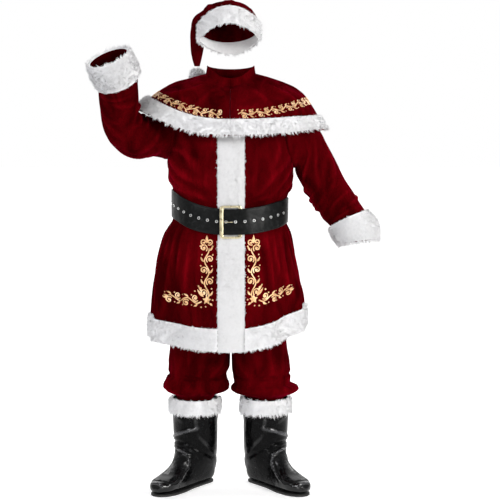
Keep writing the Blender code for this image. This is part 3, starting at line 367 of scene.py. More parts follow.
def cape_form(angle, s):
    """The cape's outer surface at an angle round the body and a share s from neck to hem."""
    angle, s = np.broadcast_arrays(np.asarray(angle, float), np.asarray(s, float))
    row = read(CAPE, s)
    out = CAPE_OVER_ARM.depth * bump(turn_between(angle, CAPE_OVER_ARM.angle), 0, CAPE_OVER_ARM.spread)
    out = 1 + out * ease(s, 0.3, 0.9) / CAPE_ARM_REACH
    x, y = oval(angle, row.left, row.right, row.front, row.back, 2.3)
    z = by_side(angle, row.z_front, row.z_right, row.z_back, row.z_left)
    return np.stack([x * out, y * out, z + CAPE_ARM_RISE * (out - 1) * s], axis=-1)


def unit(vectors):
    return vectors / np.linalg.norm(vectors, axis=-1, keepdims=True)


def lifted(form, u, v, lift, step=(0.4, 0.002), facing=1):
    """Points of a surface moved out along its normals."""
    u, v = np.broadcast_arrays(np.asarray(u, float), np.asarray(v, float))
    along_u = form(u + step[0], v) - form(u - step[0], v)
    along_v = form(u, v + step[1]) - form(u, v - step[1])
    normal = unit(np.cross(along_u, along_v)) * facing
    return form(u, v) + normal * np.asarray(lift)[..., None]


def ring_grid(table, at, sides, side_sign, folds=()):
    """Oval sections from pairs of opposite points, one row for each value in at."""
    at = np.asarray(at, float)
    row = read(table, at)
    a = np.stack([row.ax, row.ay, row.az], axis=-1)
    b = np.stack([row.bx, row.by, row.bz], axis=-1)
    centre, across = (a + b) / 2, (a - b) / 2
    ahead = read(table, at + 0.25)
    behind = read(table, at - 0.25)
    path = unit(
        np.stack([ahead.ax + ahead.bx, ahead.ay + ahead.by, ahead.az + ahead.bz], axis=-1)
        - np.stack([behind.ax + behind.bx, behind.ay + behind.by, behind.az + behind.bz], axis=-1)
    )
    sideways = unit(np.cross(path, across)) * side_sign * row.half[:, None]
    angle = np.arange(sides) * 360 / sides
    fold = sum(
        f.depth
        * bump(at[:, None], f.t + f.slant * turn_between(angle, f.angle)[None] / f.wide, f.long)
        * bump(turn_between(angle, f.angle)[None], 0, f.wide)
        for f in folds
    )
    shrink = (1 - fold / row.half[:, None]) if folds else np.ones((len(at), sides))
    cosine, sine = np.cos(np.radians(angle)), np.sin(np.radians(angle))
    spoke = across[:, None] * cosine[None, :, None] + sideways[:, None] * sine[None, :, None]
    return centre[:, None] + spoke * shrink[..., None]


def grid_normals(grid):
    """Outward normals of a stack of closed rings of points."""
    across = np.roll(grid, -1, axis=1) - np.roll(grid, 1, axis=1)
    normal = np.cross(across, np.gradient(grid, axis=0))
    length = np.linalg.norm(normal, axis=-1, keepdims=True)
    normal = normal / np.maximum(length, 1e-12)
    outward = grid - grid.mean(axis=1, keepdims=True)
    return normal * np.sign((normal * outward).sum())


def armhole_turn(height):
    """Degrees between the side line and the edge of the armhole."""
    middle, half = (ARMHOLE_HIGH + ARMHOLE_LOW) / 2, (ARMHOLE_HIGH - ARMHOLE_LOW) / 2
    return ARMHOLE_TURN * np.sqrt(np.clip(1 - ((height - middle) / half) ** 2, 0, 1))


def gap_angle(angle, height):
    """Degrees that open half a seam gap."""
    ahead = coat_form(np.asarray(angle) + 0.5, height) - coat_form(np.asarray(angle) - 0.5, height)
    return SEAM / 2 / np.linalg.norm(ahead, axis=-1)


def placket_angle(height, side):
    """The angle of the placket's edge, which keeps one width from neck to hem."""
    body = read(COAT, height)
    share = PLACKET_RIGHT / body.right if side > 0 else PLACKET_LEFT / body.left
    return np.degrees(np.arcsin(share ** (body_square(height) / 2)))


def armhole_ring(side, lift, trim=0.0):
    """The edge of the armhole, moved out from the coat and drawn in by trim."""
    turn = np.arange(SLEEVE_SIDES) * 2 * np.pi / SLEEVE_SIDES
    middle, half = (ARMHOLE_HIGH + ARMHOLE_LOW) / 2, (ARMHOLE_HIGH - ARMHOLE_LOW) / 2
    across = ARMHOLE_TURN - np.degrees(trim / ARMHOLE_REACH)
    angle = side * (90 - across * np.sin(turn))
    return lifted(coat_form, angle, middle + (half - trim) * np.cos(turn), lift)


def belt_middle(angle):
    """The height of the belt's middle line."""
    return by_side(angle, front=BELT_FRONT, **BELT_SIDES)


def belt_lift(angle):
    """How far the strap's inner face stands off the coat, round its whole length."""
    over = 1 - ease(np.abs(turn_between(angle, 0)), *BELT_DROPS)
    first = BELT_LIFT + (BELT_OVER_PLACKET - BELT_LIFT) * over
    return first + BELT_OVERLAP * ease(angle, *BELT_CLIMBS)


def belt_face(angle, share, lift):
    """A point of the belt, straight from edge to edge: share is -1 at its lower edge, 1 at its upper."""
    low = lifted(coat_form, angle, belt_middle(angle) - BELT_TALL / 2, lift)
    high = lifted(coat_form, angle, belt_middle(angle) + BELT_TALL / 2, lift)
    return low + (high - low) * (np.asarray(share)[..., None] + 1) / 2


def rounded_rectangle(wide, tall, radius):
    """Points round a rectangle with round corners, centred on the origin."""
    points, steps = [], 10
    for quarter, (sx, sz) in enumerate(((1, 1), (-1, 1), (-1, -1), (1, -1))):
        for k in range(steps + 1):
            turn = (quarter + k / steps) * np.pi / 2
            x = sx * (wide / 2 - radius) + radius * np.cos(turn)
            points.append((x, sz * (tall / 2 - radius) + radius * np.sin(turn)))
    return np.array(points)


def buckle_lift(x, down):
    """The middle of the frame off the coat: its left bar lies over the strap, its right one under."""
    share = (x - BUCKLE_X) / BUCKLE_WIDE + 0.5
    return BUCKLE_LIFT_LEFT + (BUCKLE_LIFT_RIGHT - BUCKLE_LIFT_LEFT) * share + BUCKLE_LEAN * down


def trouser_point(angle, z, table, side):
    """angle 0 is the outer side, -90 the front, 90 the back and 180 the inside leg."""
    leg = read(table, np.minimum(z, LEG_TOP))
    centre, half = (leg.inner + leg.outer) / 2, np.abs(leg.outer - leg.inner) / 2
    sine, cosine = np.sin(np.radians(angle)), np.cos(np.radians(angle))
    depth = np.where(sine < 0, leg.front, leg.back)
    lower = np.stack(np.broadcast_arrays(centre + side * half * cosine, depth * sine, z), axis=-1)
    up = ease(z, 0.84, WAIST_Z)
    width = HIP_HALF + (WAIST_HALF - HIP_HALF) * up
    front = HIP_FRONT + (WAIST_FRONT - HIP_FRONT) * up
    back = HIP_BACK + (WAIST_BACK - HIP_BACK) * up
    hip_sine, hip_cosine = np.sin(np.radians(angle / 2)), np.cos(np.radians(angle / 2))
    hip_y = np.where(hip_sine < 0, front, back) * hip_sine
    x = side * (width * hip_cosine + SEAM / 2)
    upper = np.stack(np.broadcast_arrays(x, hip_y, z), axis=-1)
    joined = 1 - ease(z, CROTCH, RISE_TOP)[..., None]
    return upper * (1 - joined) + lower * joined


def place_foot(points, heel, toe_out):
    """Turns a boot's points outwards at the toe and sets its heel down."""
    turn = np.radians(toe_out)
    x = points[..., 0] * np.cos(turn) - points[..., 1] * np.sin(turn)
    y = points[..., 0] * np.sin(turn) + points[..., 1] * np.cos(turn)
    return np.stack([x + heel[0], y + heel[1], points[..., 2]], axis=-1)


# Small folds, placed one by one. Each row runs from its first two numbers to its next two, and then has
# its half width, its depth (below 0 for a hollow) and its bow to one side, all three in metres.

# Folds of the coat: degrees round the body, and height
COAT_CREASES = (
    # chest, drawn from the raised arm down to the belt
    (-78, 1.250, -24, 1.165, 0.019, 0.0101, 0.012), (-80, 1.212, -28, 1.128, 0.015, 0.0093, 0.010),
    (-66, 1.290, -30, 1.245, 0.016, 0.0070, -0.006), (-44, 1.310, -27, 1.200, 0.024, 0.0085, 0.010),
    (-86, 1.172, -22, 1.112, 0.013, 0.0093, 0.006), (-96, 1.180, -70, 1.140, 0.010, 0.0062, 0.004),
    (-35, 1.135, -20, 1.098, 0.010, 0.0054, 0.0), (-18, 1.300, -19, 1.150, 0.012, 0.0039, 0.004),
    # chest, other side
    (68, 1.270, 26, 1.130, 0.016, 0.0078, 0.012), (76, 1.235, 44, 1.125, 0.012, 0.0070, 0.008),
    (48, 1.330, 34, 1.190, 0.022, 0.0054, -0.010), (84, 1.195, 58, 1.120, 0.010, 0.0070, 0.004),
    (22, 1.300, 19, 1.120, 0.013, 0.0039, 0.004), (92, 1.170, 72, 1.122, 0.009, 0.0054, 0.0),
    (40, 1.120, 22, 1.100, 0.010, 0.0047, 0.0),
    # skirt, below the belt
    (-100, 0.985, -105, 0.700, 0.016, 0.0078, 0.010), (-88, 1.000, -90, 0.800, 0.012, 0.0062, -0.006),
    (-74, 0.995, -78, 0.690, 0.015, 0.0085, 0.008), (-62, 0.990, -61, 0.850, 0.010, 0.0062, 0.0),
    (-53, 0.985, -55, 0.660, 0.014, 0.0085, -0.008), (-43, 0.975, -41, 0.790, 0.011, 0.0070, 0.006),
    (-33, 0.970, -35, 0.680, 0.013, 0.0078, 0.005), (-23, 0.960, -23, 0.820, 0.010, 0.0047, 0.0),
    (24, 0.960, 25, 0.800, 0.010, 0.0047, 0.0), (33, 0.970, 37, 0.690, 0.013, 0.0078, -0.006),
    (43, 0.975, 49, 0.800, 0.011, 0.0070, 0.005), (54, 0.985, 60, 0.670, 0.015, 0.0085, 0.010),
    (64, 0.990, 67, 0.850, 0.010, 0.0062, 0.0), (75, 0.990, 81, 0.700, 0.014, 0.0078, -0.008),
    (88, 1.000, 93, 0.820, 0.012, 0.0070, 0.006), (101, 1.000, 106, 0.680, 0.015, 0.0078, 0.008),
    # back of the skirt
    (116, 1.010, 118, 0.800, 0.012, 0.0070, -0.006), (129, 1.015, 132, 0.680, 0.016, 0.0085, 0.008),
    (144, 1.015, 145, 0.830, 0.011, 0.0062, 0.0), (158, 1.015, 157, 0.700, 0.015, 0.0085, -0.008),
    (172, 1.015, 173, 0.820, 0.012, 0.0070, 0.005), (186, 1.015, 189, 0.690, 0.015, 0.0078, 0.008),
    (201, 1.015, 200, 0.840, 0.011, 0.0070, 0.0), (214, 1.015, 211, 0.680, 0.016, 0.0085, -0.010),
    (229, 1.010, 230, 0.810, 0.012, 0.0070, 0.006), (243, 1.000, 241, 0.700, 0.015, 0.0078, 0.008),
    # back, bloused over the belt and drawn from the shoulders
    (112, 1.190, 150, 1.150, 0.013, 0.0078, 0.006), (128, 1.270, 168, 1.170, 0.018, 0.0078, 0.012),
    (150, 1.220, 190, 1.155, 0.013, 0.0070, -0.008), (234, 1.270, 196, 1.180, 0.018, 0.0085, -0.012),
    (246, 1.215, 208, 1.155, 0.014, 0.0078, -0.008), (140, 1.380, 170, 1.300, 0.022, 0.0062, 0.010),
    (222, 1.380, 192, 1.290, 0.022, 0.0070, -0.010), (176, 1.340, 183, 1.200, 0.020, 0.0062, 0.008),
)
# Folds of the sleeves: degrees round the arm and distance along it, 0 at the shoulder, 11 at the cuff
LEFT_SLEEVE_CREASES = (
    (150, 3.0, 215, 4.6, 0.016, 0.0080, 0.008), (165, 2.4, 240, 3.4, 0.013, 0.0065, 0.006),
    (200, 4.6, 262, 6.2, 0.014, 0.0072, -0.006), (-20, 3.6, 60, 4.4, 0.012, 0.0080, 0.006),
    (-30, 4.6, 70, 5.4, 0.011, 0.0087, 0.004), (-25, 5.7, 62, 6.3, 0.011, 0.0072, -0.004),
    (-60, 4.0, -5, 5.6, 0.013, 0.0065, 0.005), (40, 7.0, 120, 7.9, 0.011, 0.0058, 0.006),
    (70, 8.0, 160, 8.6, 0.010, 0.0058, 0.004), (-80, 7.4, 0, 8.3, 0.011, 0.0058, -0.005),
    (250, 6.6, 300, 8.4, 0.013, 0.0058, 0.006), (120, 5.4, 170, 6.8, 0.014, 0.0058, -0.006),
    (60, 2.8, 130, 3.8, 0.016, 0.0065, 0.008),
)
RIGHT_SLEEVE_CREASES = (
    (60, 2.6, 110, 5.2, 0.015, 0.0072, 0.010), (100, 2.8, 165, 4.6, 0.014, 0.0072, 0.008),
    (20, 3.4, 80, 6.2, 0.016, 0.0065, -0.008), (140, 4.4, 200, 5.4, 0.011, 0.0072, 0.004),
    (130, 5.5, 215, 6.3, 0.010, 0.0080, 0.004), (120, 6.6, 205, 7.1, 0.010, 0.0065, -0.004),
    (30, 7.0, 110, 7.7, 0.010, 0.0065, 0.004), (10, 7.8, 100, 8.3, 0.009, 0.0065, -0.003),
    (50, 8.5, 150, 8.8, 0.009, 0.0065, 0.003), (-50, 7.2, 20, 8.0, 0.010, 0.0058, 0.004),
    (-90, 4.0, -40, 6.4, 0.015, 0.0065, 0.008), (230, 5.0, 290, 7.0, 0.013, 0.0065, -0.006),
    (200, 7.6, 280, 8.4, 0.010, 0.0065, 0.004),
)
# Folds of the cape: degrees round the body, and share from neck to hem
CAPE_CREASES = (
    (-40, 0.20, -60, 0.74, 0.018, 0.0048, 0.006), (-22, 0.15, -27, 0.74, 0.016, 0.0042, 0.0),
    (-75, 0.25, -88, 0.74, 0.018, 0.0048, 0.006), (26, 0.15, 31, 0.74, 0.017, 0.0048, 0.004),
    (50, 0.25, 60, 0.74, 0.018, 0.0048, -0.006), (80, 0.30, 86, 0.74, 0.016, 0.0042, 0.0),
    (112, 0.25, 116, 0.78, 0.020, 0.0066, 0.006), (138, 0.20, 142, 0.78, 0.020, 0.0072, -0.006),
    (163, 0.18, 164, 0.78, 0.021, 0.0072, 0.006), (188, 0.18, 190, 0.78, 0.020, 0.0072, -0.006),
    (214, 0.20, 212, 0.78, 0.021, 0.0072, 0.006), (240, 0.25, 238, 0.78, 0.019, 0.0060, 0.0),
)
# Folds of the trousers: degrees round the leg from its outer side, and height
TROUSER_CREASES = (
    (-150, 0.560, -120, 0.440, 0.015, 0.0074, 0.008), (-110, 0.600, -95, 0.450, 0.017, 0.0068, -0.008),
    (-70, 0.580, -60, 0.430, 0.016, 0.0074, 0.008), (-35, 0.560, -45, 0.440, 0.014, 0.0061, 0.0),
    (-10, 0.540, 8, 0.430, 0.015, 0.0068, 0.006), (40, 0.580, 36, 0.440, 0.016, 0.0074, -0.006),
    (75, 0.600, 80, 0.440, 0.017, 0.0074, 0.008), (115, 0.580, 108, 0.440, 0.016, 0.0068, -0.006),
    (150, 0.560, 158, 0.430, 0.014, 0.0068, 0.006), (-165, 0.436, -120, 0.424, 0.009, -0.0068, 0.003),
    (-105, 0.430, -50, 0.438, 0.010, -0.0068, 0.004), (-40, 0.428, 20, 0.434, 0.009, -0.0074, -0.003),
    (35, 0.430, 90, 0.436, 0.010, -0.0068, 0.003), (100, 0.432, 160, 0.428, 0.009, -0.0068, 0.003),
)
GATHERS = 26  # small gathers round each trouser leg, where it is drawn in over the boot
GATHER_LOW, GATHER_TALL = (0.352, 0.362), (0.030, 0.060)  # where they start, and how far up they run
GATHER_HALF, GATHER_DEEP = (0.005, 0.008), (0.0022, 0.0042)
# Folds of the hat's crown: degrees round it, and distance from the band to the tip
CROWN_CREASES = (
    (-60, 0.6, -20, 4.2, 0.012, 0.0059, 0.006), (-100, 0.5, -70, 3.6, 0.013, 0.0059, -0.005),
    (20, 0.6, 40, 3.4, 0.012, 0.0052, 0.006), (70, 0.5, 100, 3.2, 0.013, 0.0059, 0.005),
    (150, 0.6, 185, 3.8, 0.013, 0.0059, -0.006), (215, 0.6, 230, 3.4, 0.012, 0.0052, 0.005),
    (-30, 4.0, 20, 6.0, 0.009, 0.0046, 0.004), (60, 4.4, 120, 6.2, 0.009, 0.0046, -0.004),
    (-100, 5.4, -50, 7.2, 0.008, 0.0046, 0.004), (0, 6.8, 60, 8.0, 0.007, 0.0039, 0.003),
)
# Creases of the boots: degrees round from the front, and distance down the shaft and along the foot
BOOT_CREASES = (
    (33, 0.9, 40, 2.0, 0.010, 0.0030, 0.003), (42, 2.0, -52, 3.05, 0.0085, 0.0078, -0.002),
    (-60, 3.55, 22, 3.55, 0.009, -0.0070, 0.004), (12, 3.55, 98, 4.75, 0.009, -0.0050, -0.004),
    (42, 2.5, 96, 4.30, 0.012, 0.0026, -0.004), (70, 1.0, 92, 2.6, 0.010, -0.0025, 0.003),
    (-40, 4.15, 28, 5.05, 0.008, 0.0062, 0.004), (20, 4.90, 58, 7.60, 0.008, 0.0058, 0.005),
    (54, 7.30, 76, 9.90, 0.008, 0.0050, 0.002), (-78, 3.3, -118, 4.6, 0.010, -0.0050, 0.004),
    (-62, 4.8, -70, 8.6, 0.008, 0.0030, 0.004), (104, 4.3, 146, 5.6, 0.009, 0.0045, 0.004),
    (-100, 3.9, -142, 5.2, 0.008, 0.0045, 0.004), (150, 2.0, 222, 2.9, 0.010, 0.0045, 0.007),
    (142, 3.3, 212, 4.0, 0.009, 0.0050, -0.005), (120, 1.2, 170, 2.2, 0.012, 0.0035, 0.005),
    (-150, 1.0, -110, 2.0, 0.012, 0.0035, 0.005), (-30, 1.2, 6, 1.7, 0.010, 0.0022, 0.003),
    (-62, 11.75, 72, 11.95, 0.009, -0.0048, 0.004), (-50, 12.7, 70, 12.75, 0.020, 0.0060, 0.002),
)
VAMP_SEAM = (  # where the front of the foot is sewn over the shaft: degrees round, distance along
    (-112, 9.4), (-84, 8.4), (-66, 7.2), (-48, 5.9), (-30, 4.9), (-8, 4.35), (10, 4.5),
    (25, 5.1), (41, 6.1), (57, 7.5), (65, 8.8), (80, 9.9), (105, 10.4),
)
# Metres for a degree round each piece and for 1 along it, where its folds are laid out
COAT_SCALE = (0.0041, 1.0)
CAPE_SCALE = (0.0048, 0.26)
SLEEVE_SCALE = (0.0014, 0.056)
TROUSER_SCALE = (0.0019, 1.0)
CROWN_SCALE = (0.0016, 0.040)
BOOT_SCALE = (0.0015, 0.045)

# Finer sizes that only the dressed suit has
BELT_PRESS = (0.050, 0.078)  # distances from the belt's middle over which the coat's folds come back
PLACKET_STIFF = (12, 22)  # degrees over which they come back beside the placket
SIDE_SEAM_DEEP, SIDE_SEAM_TURN, SIDE_SEAM_TOP = 0.0014, 1.4, 1.18  # its groove: metres, degrees, height
PLACKET_TOP = 1.538  # where its plush ends under the neckband
PLACKET_TUFT = 0.0046
PLACKET_THINS, PLACKET_LIFTS = (1.48, 1.54), (1.49, 1.54)  # heights, under the neckband
CUFF_START = 8.95  # distance along the arm
CAPE_FUR_END = 0.985  # share from neck to hem
NECKBAND_LOW, NECKBAND_HIGH = -0.0010, 0.030  # its edges, from the neck edge of the cape
NECKBAND_IN, NECKBAND_LEAN = 0.0008, 0.0052  # how far in its foot stands, and how much more its top
BELT_CLEAR = 0.060  # half the height over which the belt wears the placket's pile flat
EYELET_FRONT, EYELET_STEP = 0.0195, 0.0352  # x of one beside the buckle, and from one to the next
BELT_SECTION = (  # share of half its width, and how far its face stands up there
    (1, -0.0013), (0.988, -0.0005), (0.965, -0.00005), (0.94, 0), (0.915, -0.0003), (0.895, -0.00045),
    (0.875, -0.0001), (0.82, 0), (0.6, 0), (0.36, 0), (0.12, 0),
)
EYELET_HOLE = 0.52  # radius of its hole, as a share of its own
EYELET_LIFT, EYELET_BULGE = 0.0004, 0.0011  # its bar's middle off the leather, and half its thickness
HOLE_HEIGHTS = (-0.0006, 0.00025)  # bottom and top of the dark round plate that paints the hole's shade
PRONG_HEEL = (0.012, 0.0125)  # x and lift of the prong's end on the bar
TROUSER_BOUND, TROUSER_PLAIN = (0.345, 0.365), (0.62, 0.70)  # heights where its folds start and end
INSEAM_DEEP, INSEAM_TURN = 0.0015, 2.5  # metres and degrees
BOOT_FOLDS_START, BOOT_FOLDS_END = (0.9, 1.5), (12.9, 13.8)  # distances along the boot
PANEL_RISE = 0.0013  # how far the boots' foot panel stands above the shaft
PANEL_FRONT, PANEL_SIDES = (10.8, 11.8), (90, 110)  # where it runs out: along, and degrees round
SOLE_START, SOLE_SIDES = (5.8, 7.2), (118, 150)  # where the boot is flat on its sole
BOOT_CLEAR = 0.001  # between a boot and its fur
PIPING = (  # section of the boots' piping: across, and off the leather
    (-0.0016, -0.0006), (-0.0013, 0.0005), (-0.0005, 0.0012),
    (0.0005, 0.0012), (0.0013, 0.0005), (0.0016, -0.0006),
)
SOLE_EDGE = (  # section of the soles' edge: how far in, and height
    (0.0022, 0.0), (0.0004, 0.0012), (0.0, 0.0035), (0.0, 0.0070), (0.0006, SOLE - 0.0006), (0.003, SOLE),
)
SOLE_MIDDLE = (0.0, -0.17)
TOE_SHINE = (-0.160, -0.120)  # y over which the polish of the boots' toes fades
CROWN_SIDES = 72
POMPOM_CORE = 0.66  # share of the pompom's radius under its pile
BLADE_HALF = 0.00052  # half the width of a blade of plush at its root
BLADE_SUNK = 0.0012  # how deep its root starts in the face it grows on
BLADE_STRAY = 0.0011  # how far its tip strays from the tuft's
TRIM_PAD, PLACKET_PAD = 0.45, 0.62  # share of the depth that the padded strip under the pile fills

# Gold print, laid out from the corner where the two vines of a skirt front meet, towards the side and up
SKIRT_PRINT_LOW = 0.738  # height of the corner
SKIRT_PRINT_OUT = {-1: 0.040, 1: 0.034}  # how far it is from the placket, on each side
SKIRT_STEM, SKIRT_BRANCH = (0.190, 0.0085, 0.082), (0.142, 0.0080, 0.076)  # length, swing and period
BRANCH_START = (0.020, -0.006)
BUD_CURLS = ((-0.011, 0.213, 300, -1.25), (0.012, 0.213, 240, 1.25))  # x, y, start, turns
SKIRT_LEAVES = (  # x, y, aim, length, share of the stroke, curl
    (0.0, 0.208, 90, 0.030, 1.9, 0), (0.012, 0.012, 34, 0.036, 1.9, 30),
    (0.020, 0.030, 70, 0.026, 1.7, -35), (-0.012, -0.010, 225, 0.013, 1.5, 0),
)
SKIRT_DOTS = (  # x, y, share of the stroke
    (-0.022, 0.197, 1.2), (0.023, 0.197, 1.2), (0.046, 0.030, 1.2), (0.004, -0.024, 1.0),
    (0.032, 0.050, 1.1),
)
CAPE_PRINT_LINE = 0.690  # share from the cape's neck to its hem
PRINT_TOP, PRINT_UNDER = 0.0011, 0.0002  # how far the print's faces stand off the cloth's form
CAPE_PRINT_START, CAPE_PRINT_SWING, CAPE_PRINT_BENDS = 0.030, 0.0060, 26

# Stage
ROOM = 0.32  # brightness of the room in front of the suit
FLOOR_NEAR, FLOOR_FAR = 0.10, 0.80  # how brightly the floor itself shines before and behind the suit
FLOOR_RINGS = (1.5, 6.0, 30.0, 200.0, 2000.0)
MIDDLE = (0.0, 0.0, -0.6)  # of the suit
Light = namedtuple("Light", "name at aim size power colour spread")
LIGHTS = (
    Light("key", (-2.9, -3.2, 1.7), MIDDLE, 1.5, 96, (0.97, 0.97, 1.0), 180),
    Light("fill", (3.1, -3.4, 0.7), MIDDLE, 1.5, 162, (1.0, 0.99, 0.97), 180),
    Light("low", (-0.7, -3.4, -1.40), (0, 0, -1.48), 0.8, 0.8, (1.0, 1.0, 1.0), 28),
    Light("rim_left", (-2.6, 2.4, 1.6), MIDDLE, 1.2, 40, (1.0, 1.0, 1.0), 180),
    Light("rim_right", (2.6, 2.4, 1.6), MIDDLE, 1.2, 40, (1.0, 1.0, 1.0), 180),
)
CAMERA_AT = (0.073, -5.1, -0.27)
CAMERA_DOWN = 3.585  # degrees below level
SENSOR = 36.0
LENS_SHARE = 1333 / 500  # focal length over the frame's width


def suit():
    """The colours and sizes that a user sets."""
    return bpy.context.scene.santa_suit


def creased(u, v, creases, scale):
    """How far listed folds move a surface out: u is in degrees round it, v goes along it."""
    u, v = np.broadcast_arrays(np.asarray(u, float), np.asarray(v, float))
    total = np.zeros(u.shape)
    for u0, v0, u1, v1, wide, depth, bow in creases:
        run_u, run_v = (u1 - u0) * scale[0], (v1 - v0) * scale[1]
        length = np.hypot(run_u, run_v)
        du, dv = turn_between(u, u0) * scale[0], (v - v0) * scale[1]
        along = (du * run_u + dv * run_v) / length
        share = np.clip(along / length, 0, 1)
        across = (du * run_v - dv * run_u) / length - bow * 4 * share * (1 - share)
        away = (across / wide) ** 2 + ((along - share * length) / (2 * wide)) ** 2
        swell = 0.35 + 0.65 * np.sin(np.pi * share)
        total += depth * swell * (1 - 0.8 * away) * np.exp(-away)
    return total * suit().fold_depth


def coat_folds(angle, height):
    """The coat's folds, pressed flat under the belt and soft under the placket."""
    folds = creased(angle, height, COAT_CREASES, COAT_SCALE)
    away = np.abs(turn_between(angle, 0))
    free = ease(np.abs(height - belt_middle(angle)), *BELT_PRESS)
    stiff = 0.25 + 0.75 * ease(away, *PLACKET_STIFF)
    side_seam = bump(away, 90, SIDE_SEAM_TURN) * (1 - ease(height, SIDE_SEAM_TOP, ARMHOLE_LOW))
    return folds * free * stiff - SIDE_SEAM_DEEP * side_seam


def on_coat(angle, height, lift=0.0):
    """A point of the dressed coat, or one lifted off it."""
    return lifted(coat_form, angle, height, coat_folds(angle, height) + lift)


def cape_folds(angle, s):
    return creased(angle, s, CAPE_CREASES, CAPE_SCALE)


def on_cape(angle, s, lift=0.0):
    """A point of the dressed cape, or one lifted off it."""
    return lifted(cape_form, angle, s, cape_folds(angle, s) + lift, CAPE_STEP, -1)


def spaced(count):
    """Shares from 0 to 1 that crowd towards both ends, where the seams are."""
    s = np.linspace(0, 1, count)
    return s - 0.5 * np.sin(2 * np.pi * s) / (2 * np.pi)


def spans(*parts):
    """Row positions span after span: each part is its start, its end and how many rows it has."""
    rows = [np.linspace(*part) for part in parts]
    return np.concatenate([part[:-1] for part in rows[:-1]] + rows[-1:])


def new_mesh(name, points, faces):
    """A mesh from points measured from the soles and arrays of faces, one for each number of corners."""
    mesh = bpy.data.meshes.new(name)
    corners = np.concatenate([np.asarray(part).ravel() for part in faces]).astype(np.int32)
    sizes = np.concatenate([np.full(len(part), np.shape(part)[1]) for part in faces])
    starts = np.concatenate([[0], np.cumsum(sizes)[:-1]]).astype(np.int32)
    mesh.vertices.add(len(points))
    mesh.vertices.foreach_set("co", (points - SHOULDERS).astype(np.float32).ravel())
    mesh.loops.add(len(corners))
    mesh.loops.foreach_set("vertex_index", corners)
    mesh.polygons.add(len(starts))
    mesh.polygons.foreach_set("loop_start", starts)
    mesh.update(calc_edges=True)
    return mesh


def add_piece(name, mesh, surface, sharp=60):
    """A piece of the suit, in its material, going with the body."""
    mesh.materials.append(surface)
    mesh.shade_smooth()
    if sharp:
        mesh.set_sharp_from_angle(angle=np.radians(sharp))
    piece = bpy.data.objects.new(name, mesh)
    bpy.context.scene.collection.objects.link(piece)
    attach(piece, "root")
    return piece


def strip_faces(first, second):
    """Faces between two rows of numbered points, or between two stacks of rows."""
    corners = [first[..., :-1], first[..., 1:], second[..., 1:], second[..., :-1]]
    return np.stack(corners, axis=-1).reshape(-1, 4)


def grid_faces(number):
    """Faces between each row of a numbered grid and the next."""
    return strip_faces(number[..., :-1, :], number[..., 1:, :])


def numbered(points, around=True, looped=False):
    """The number of each point of a grid, repeated at the end where the grid closes on itself."""
    number = np.arange(points[..., 0].size).reshape(points.shape[:-1])
    if around:
        number = np.concatenate([number, number[..., :1]], axis=-1)
    if looped:
        number = np.concatenate([number, number[..., :1, :]], axis=-2)
    return number


def solid_mesh(name, rings):
    """A solid from a stack of closed rings of points, with a flat face on each end."""
    number = numbered(rings)
    faces = [grid_faces(number), number[:1, -2::-1], number[-1:, :-1]]
    return new_mesh(name, rings.reshape(-1, 3), faces)


def wall_mesh(name, outer, inner, around=False, capped=False):
    """A closed wall between two grids of points; capped closes a tube at its last row."""
    number = numbered(outer, around)
    shift = outer[..., 0].size
    outside = grid_faces(number)
    faces = [outside, outside[:, ::-1] + shift, strip_faces(number[0][::-1], number[0][::-1] + shift)]
    if capped:
        faces += [number[-1][None, :-1], number[-1][None, :-1][:, ::-1] + shift]
    else:
        faces.append(strip_faces(number[-1], number[-1] + shift))
    if not around:
        faces.append(strip_faces(number[:, 0], number[:, 0] + shift))
        faces.append(strip_faces(number[::-1, -1], number[::-1, -1] + shift))
    points = np.concatenate([outer.reshape(-1, 3), inner.reshape(-1, 3)])
    corner = points[outside]
    facing = np.cross(corner[:, 2] - corner[:, 0], corner[:, 3] - corner[:, 1])
    if (facing * (corner[:, 0] - points[outside[:, 0] + shift])).sum() < 0:
        faces = [part[:, ::-1] for part in faces]
    return new_mesh(name, points, faces)


def mark_folds(mesh, folds):
    """Writes each fold's height, in centimetres, where the material reads it to paint highlight and shade on
    the folds, on both faces of a wall.
    """
    height = mesh.attributes.new("fold", "FLOAT", "POINT")
    height.data.foreach_set("value", np.tile(folds.ravel() * 100, 2).astype(np.float32))


def velvet_piece(node, outer, inner, folds, around=False, capped=False):
    """A velvet panel in place of its node; its fold heights go on it for the painted highlight and shade of
    its folds.
    """
    mesh = wall_mesh(node + "_velvet", outer, inner, around, capped)
    mark_folds(mesh, np.broadcast_to(folds, outer.shape[:2]))
    piece = add_piece(node + "_velvet", mesh, crushed_velvet())
    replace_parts(piece, node)


# ---------------------------------------------------------------- materials


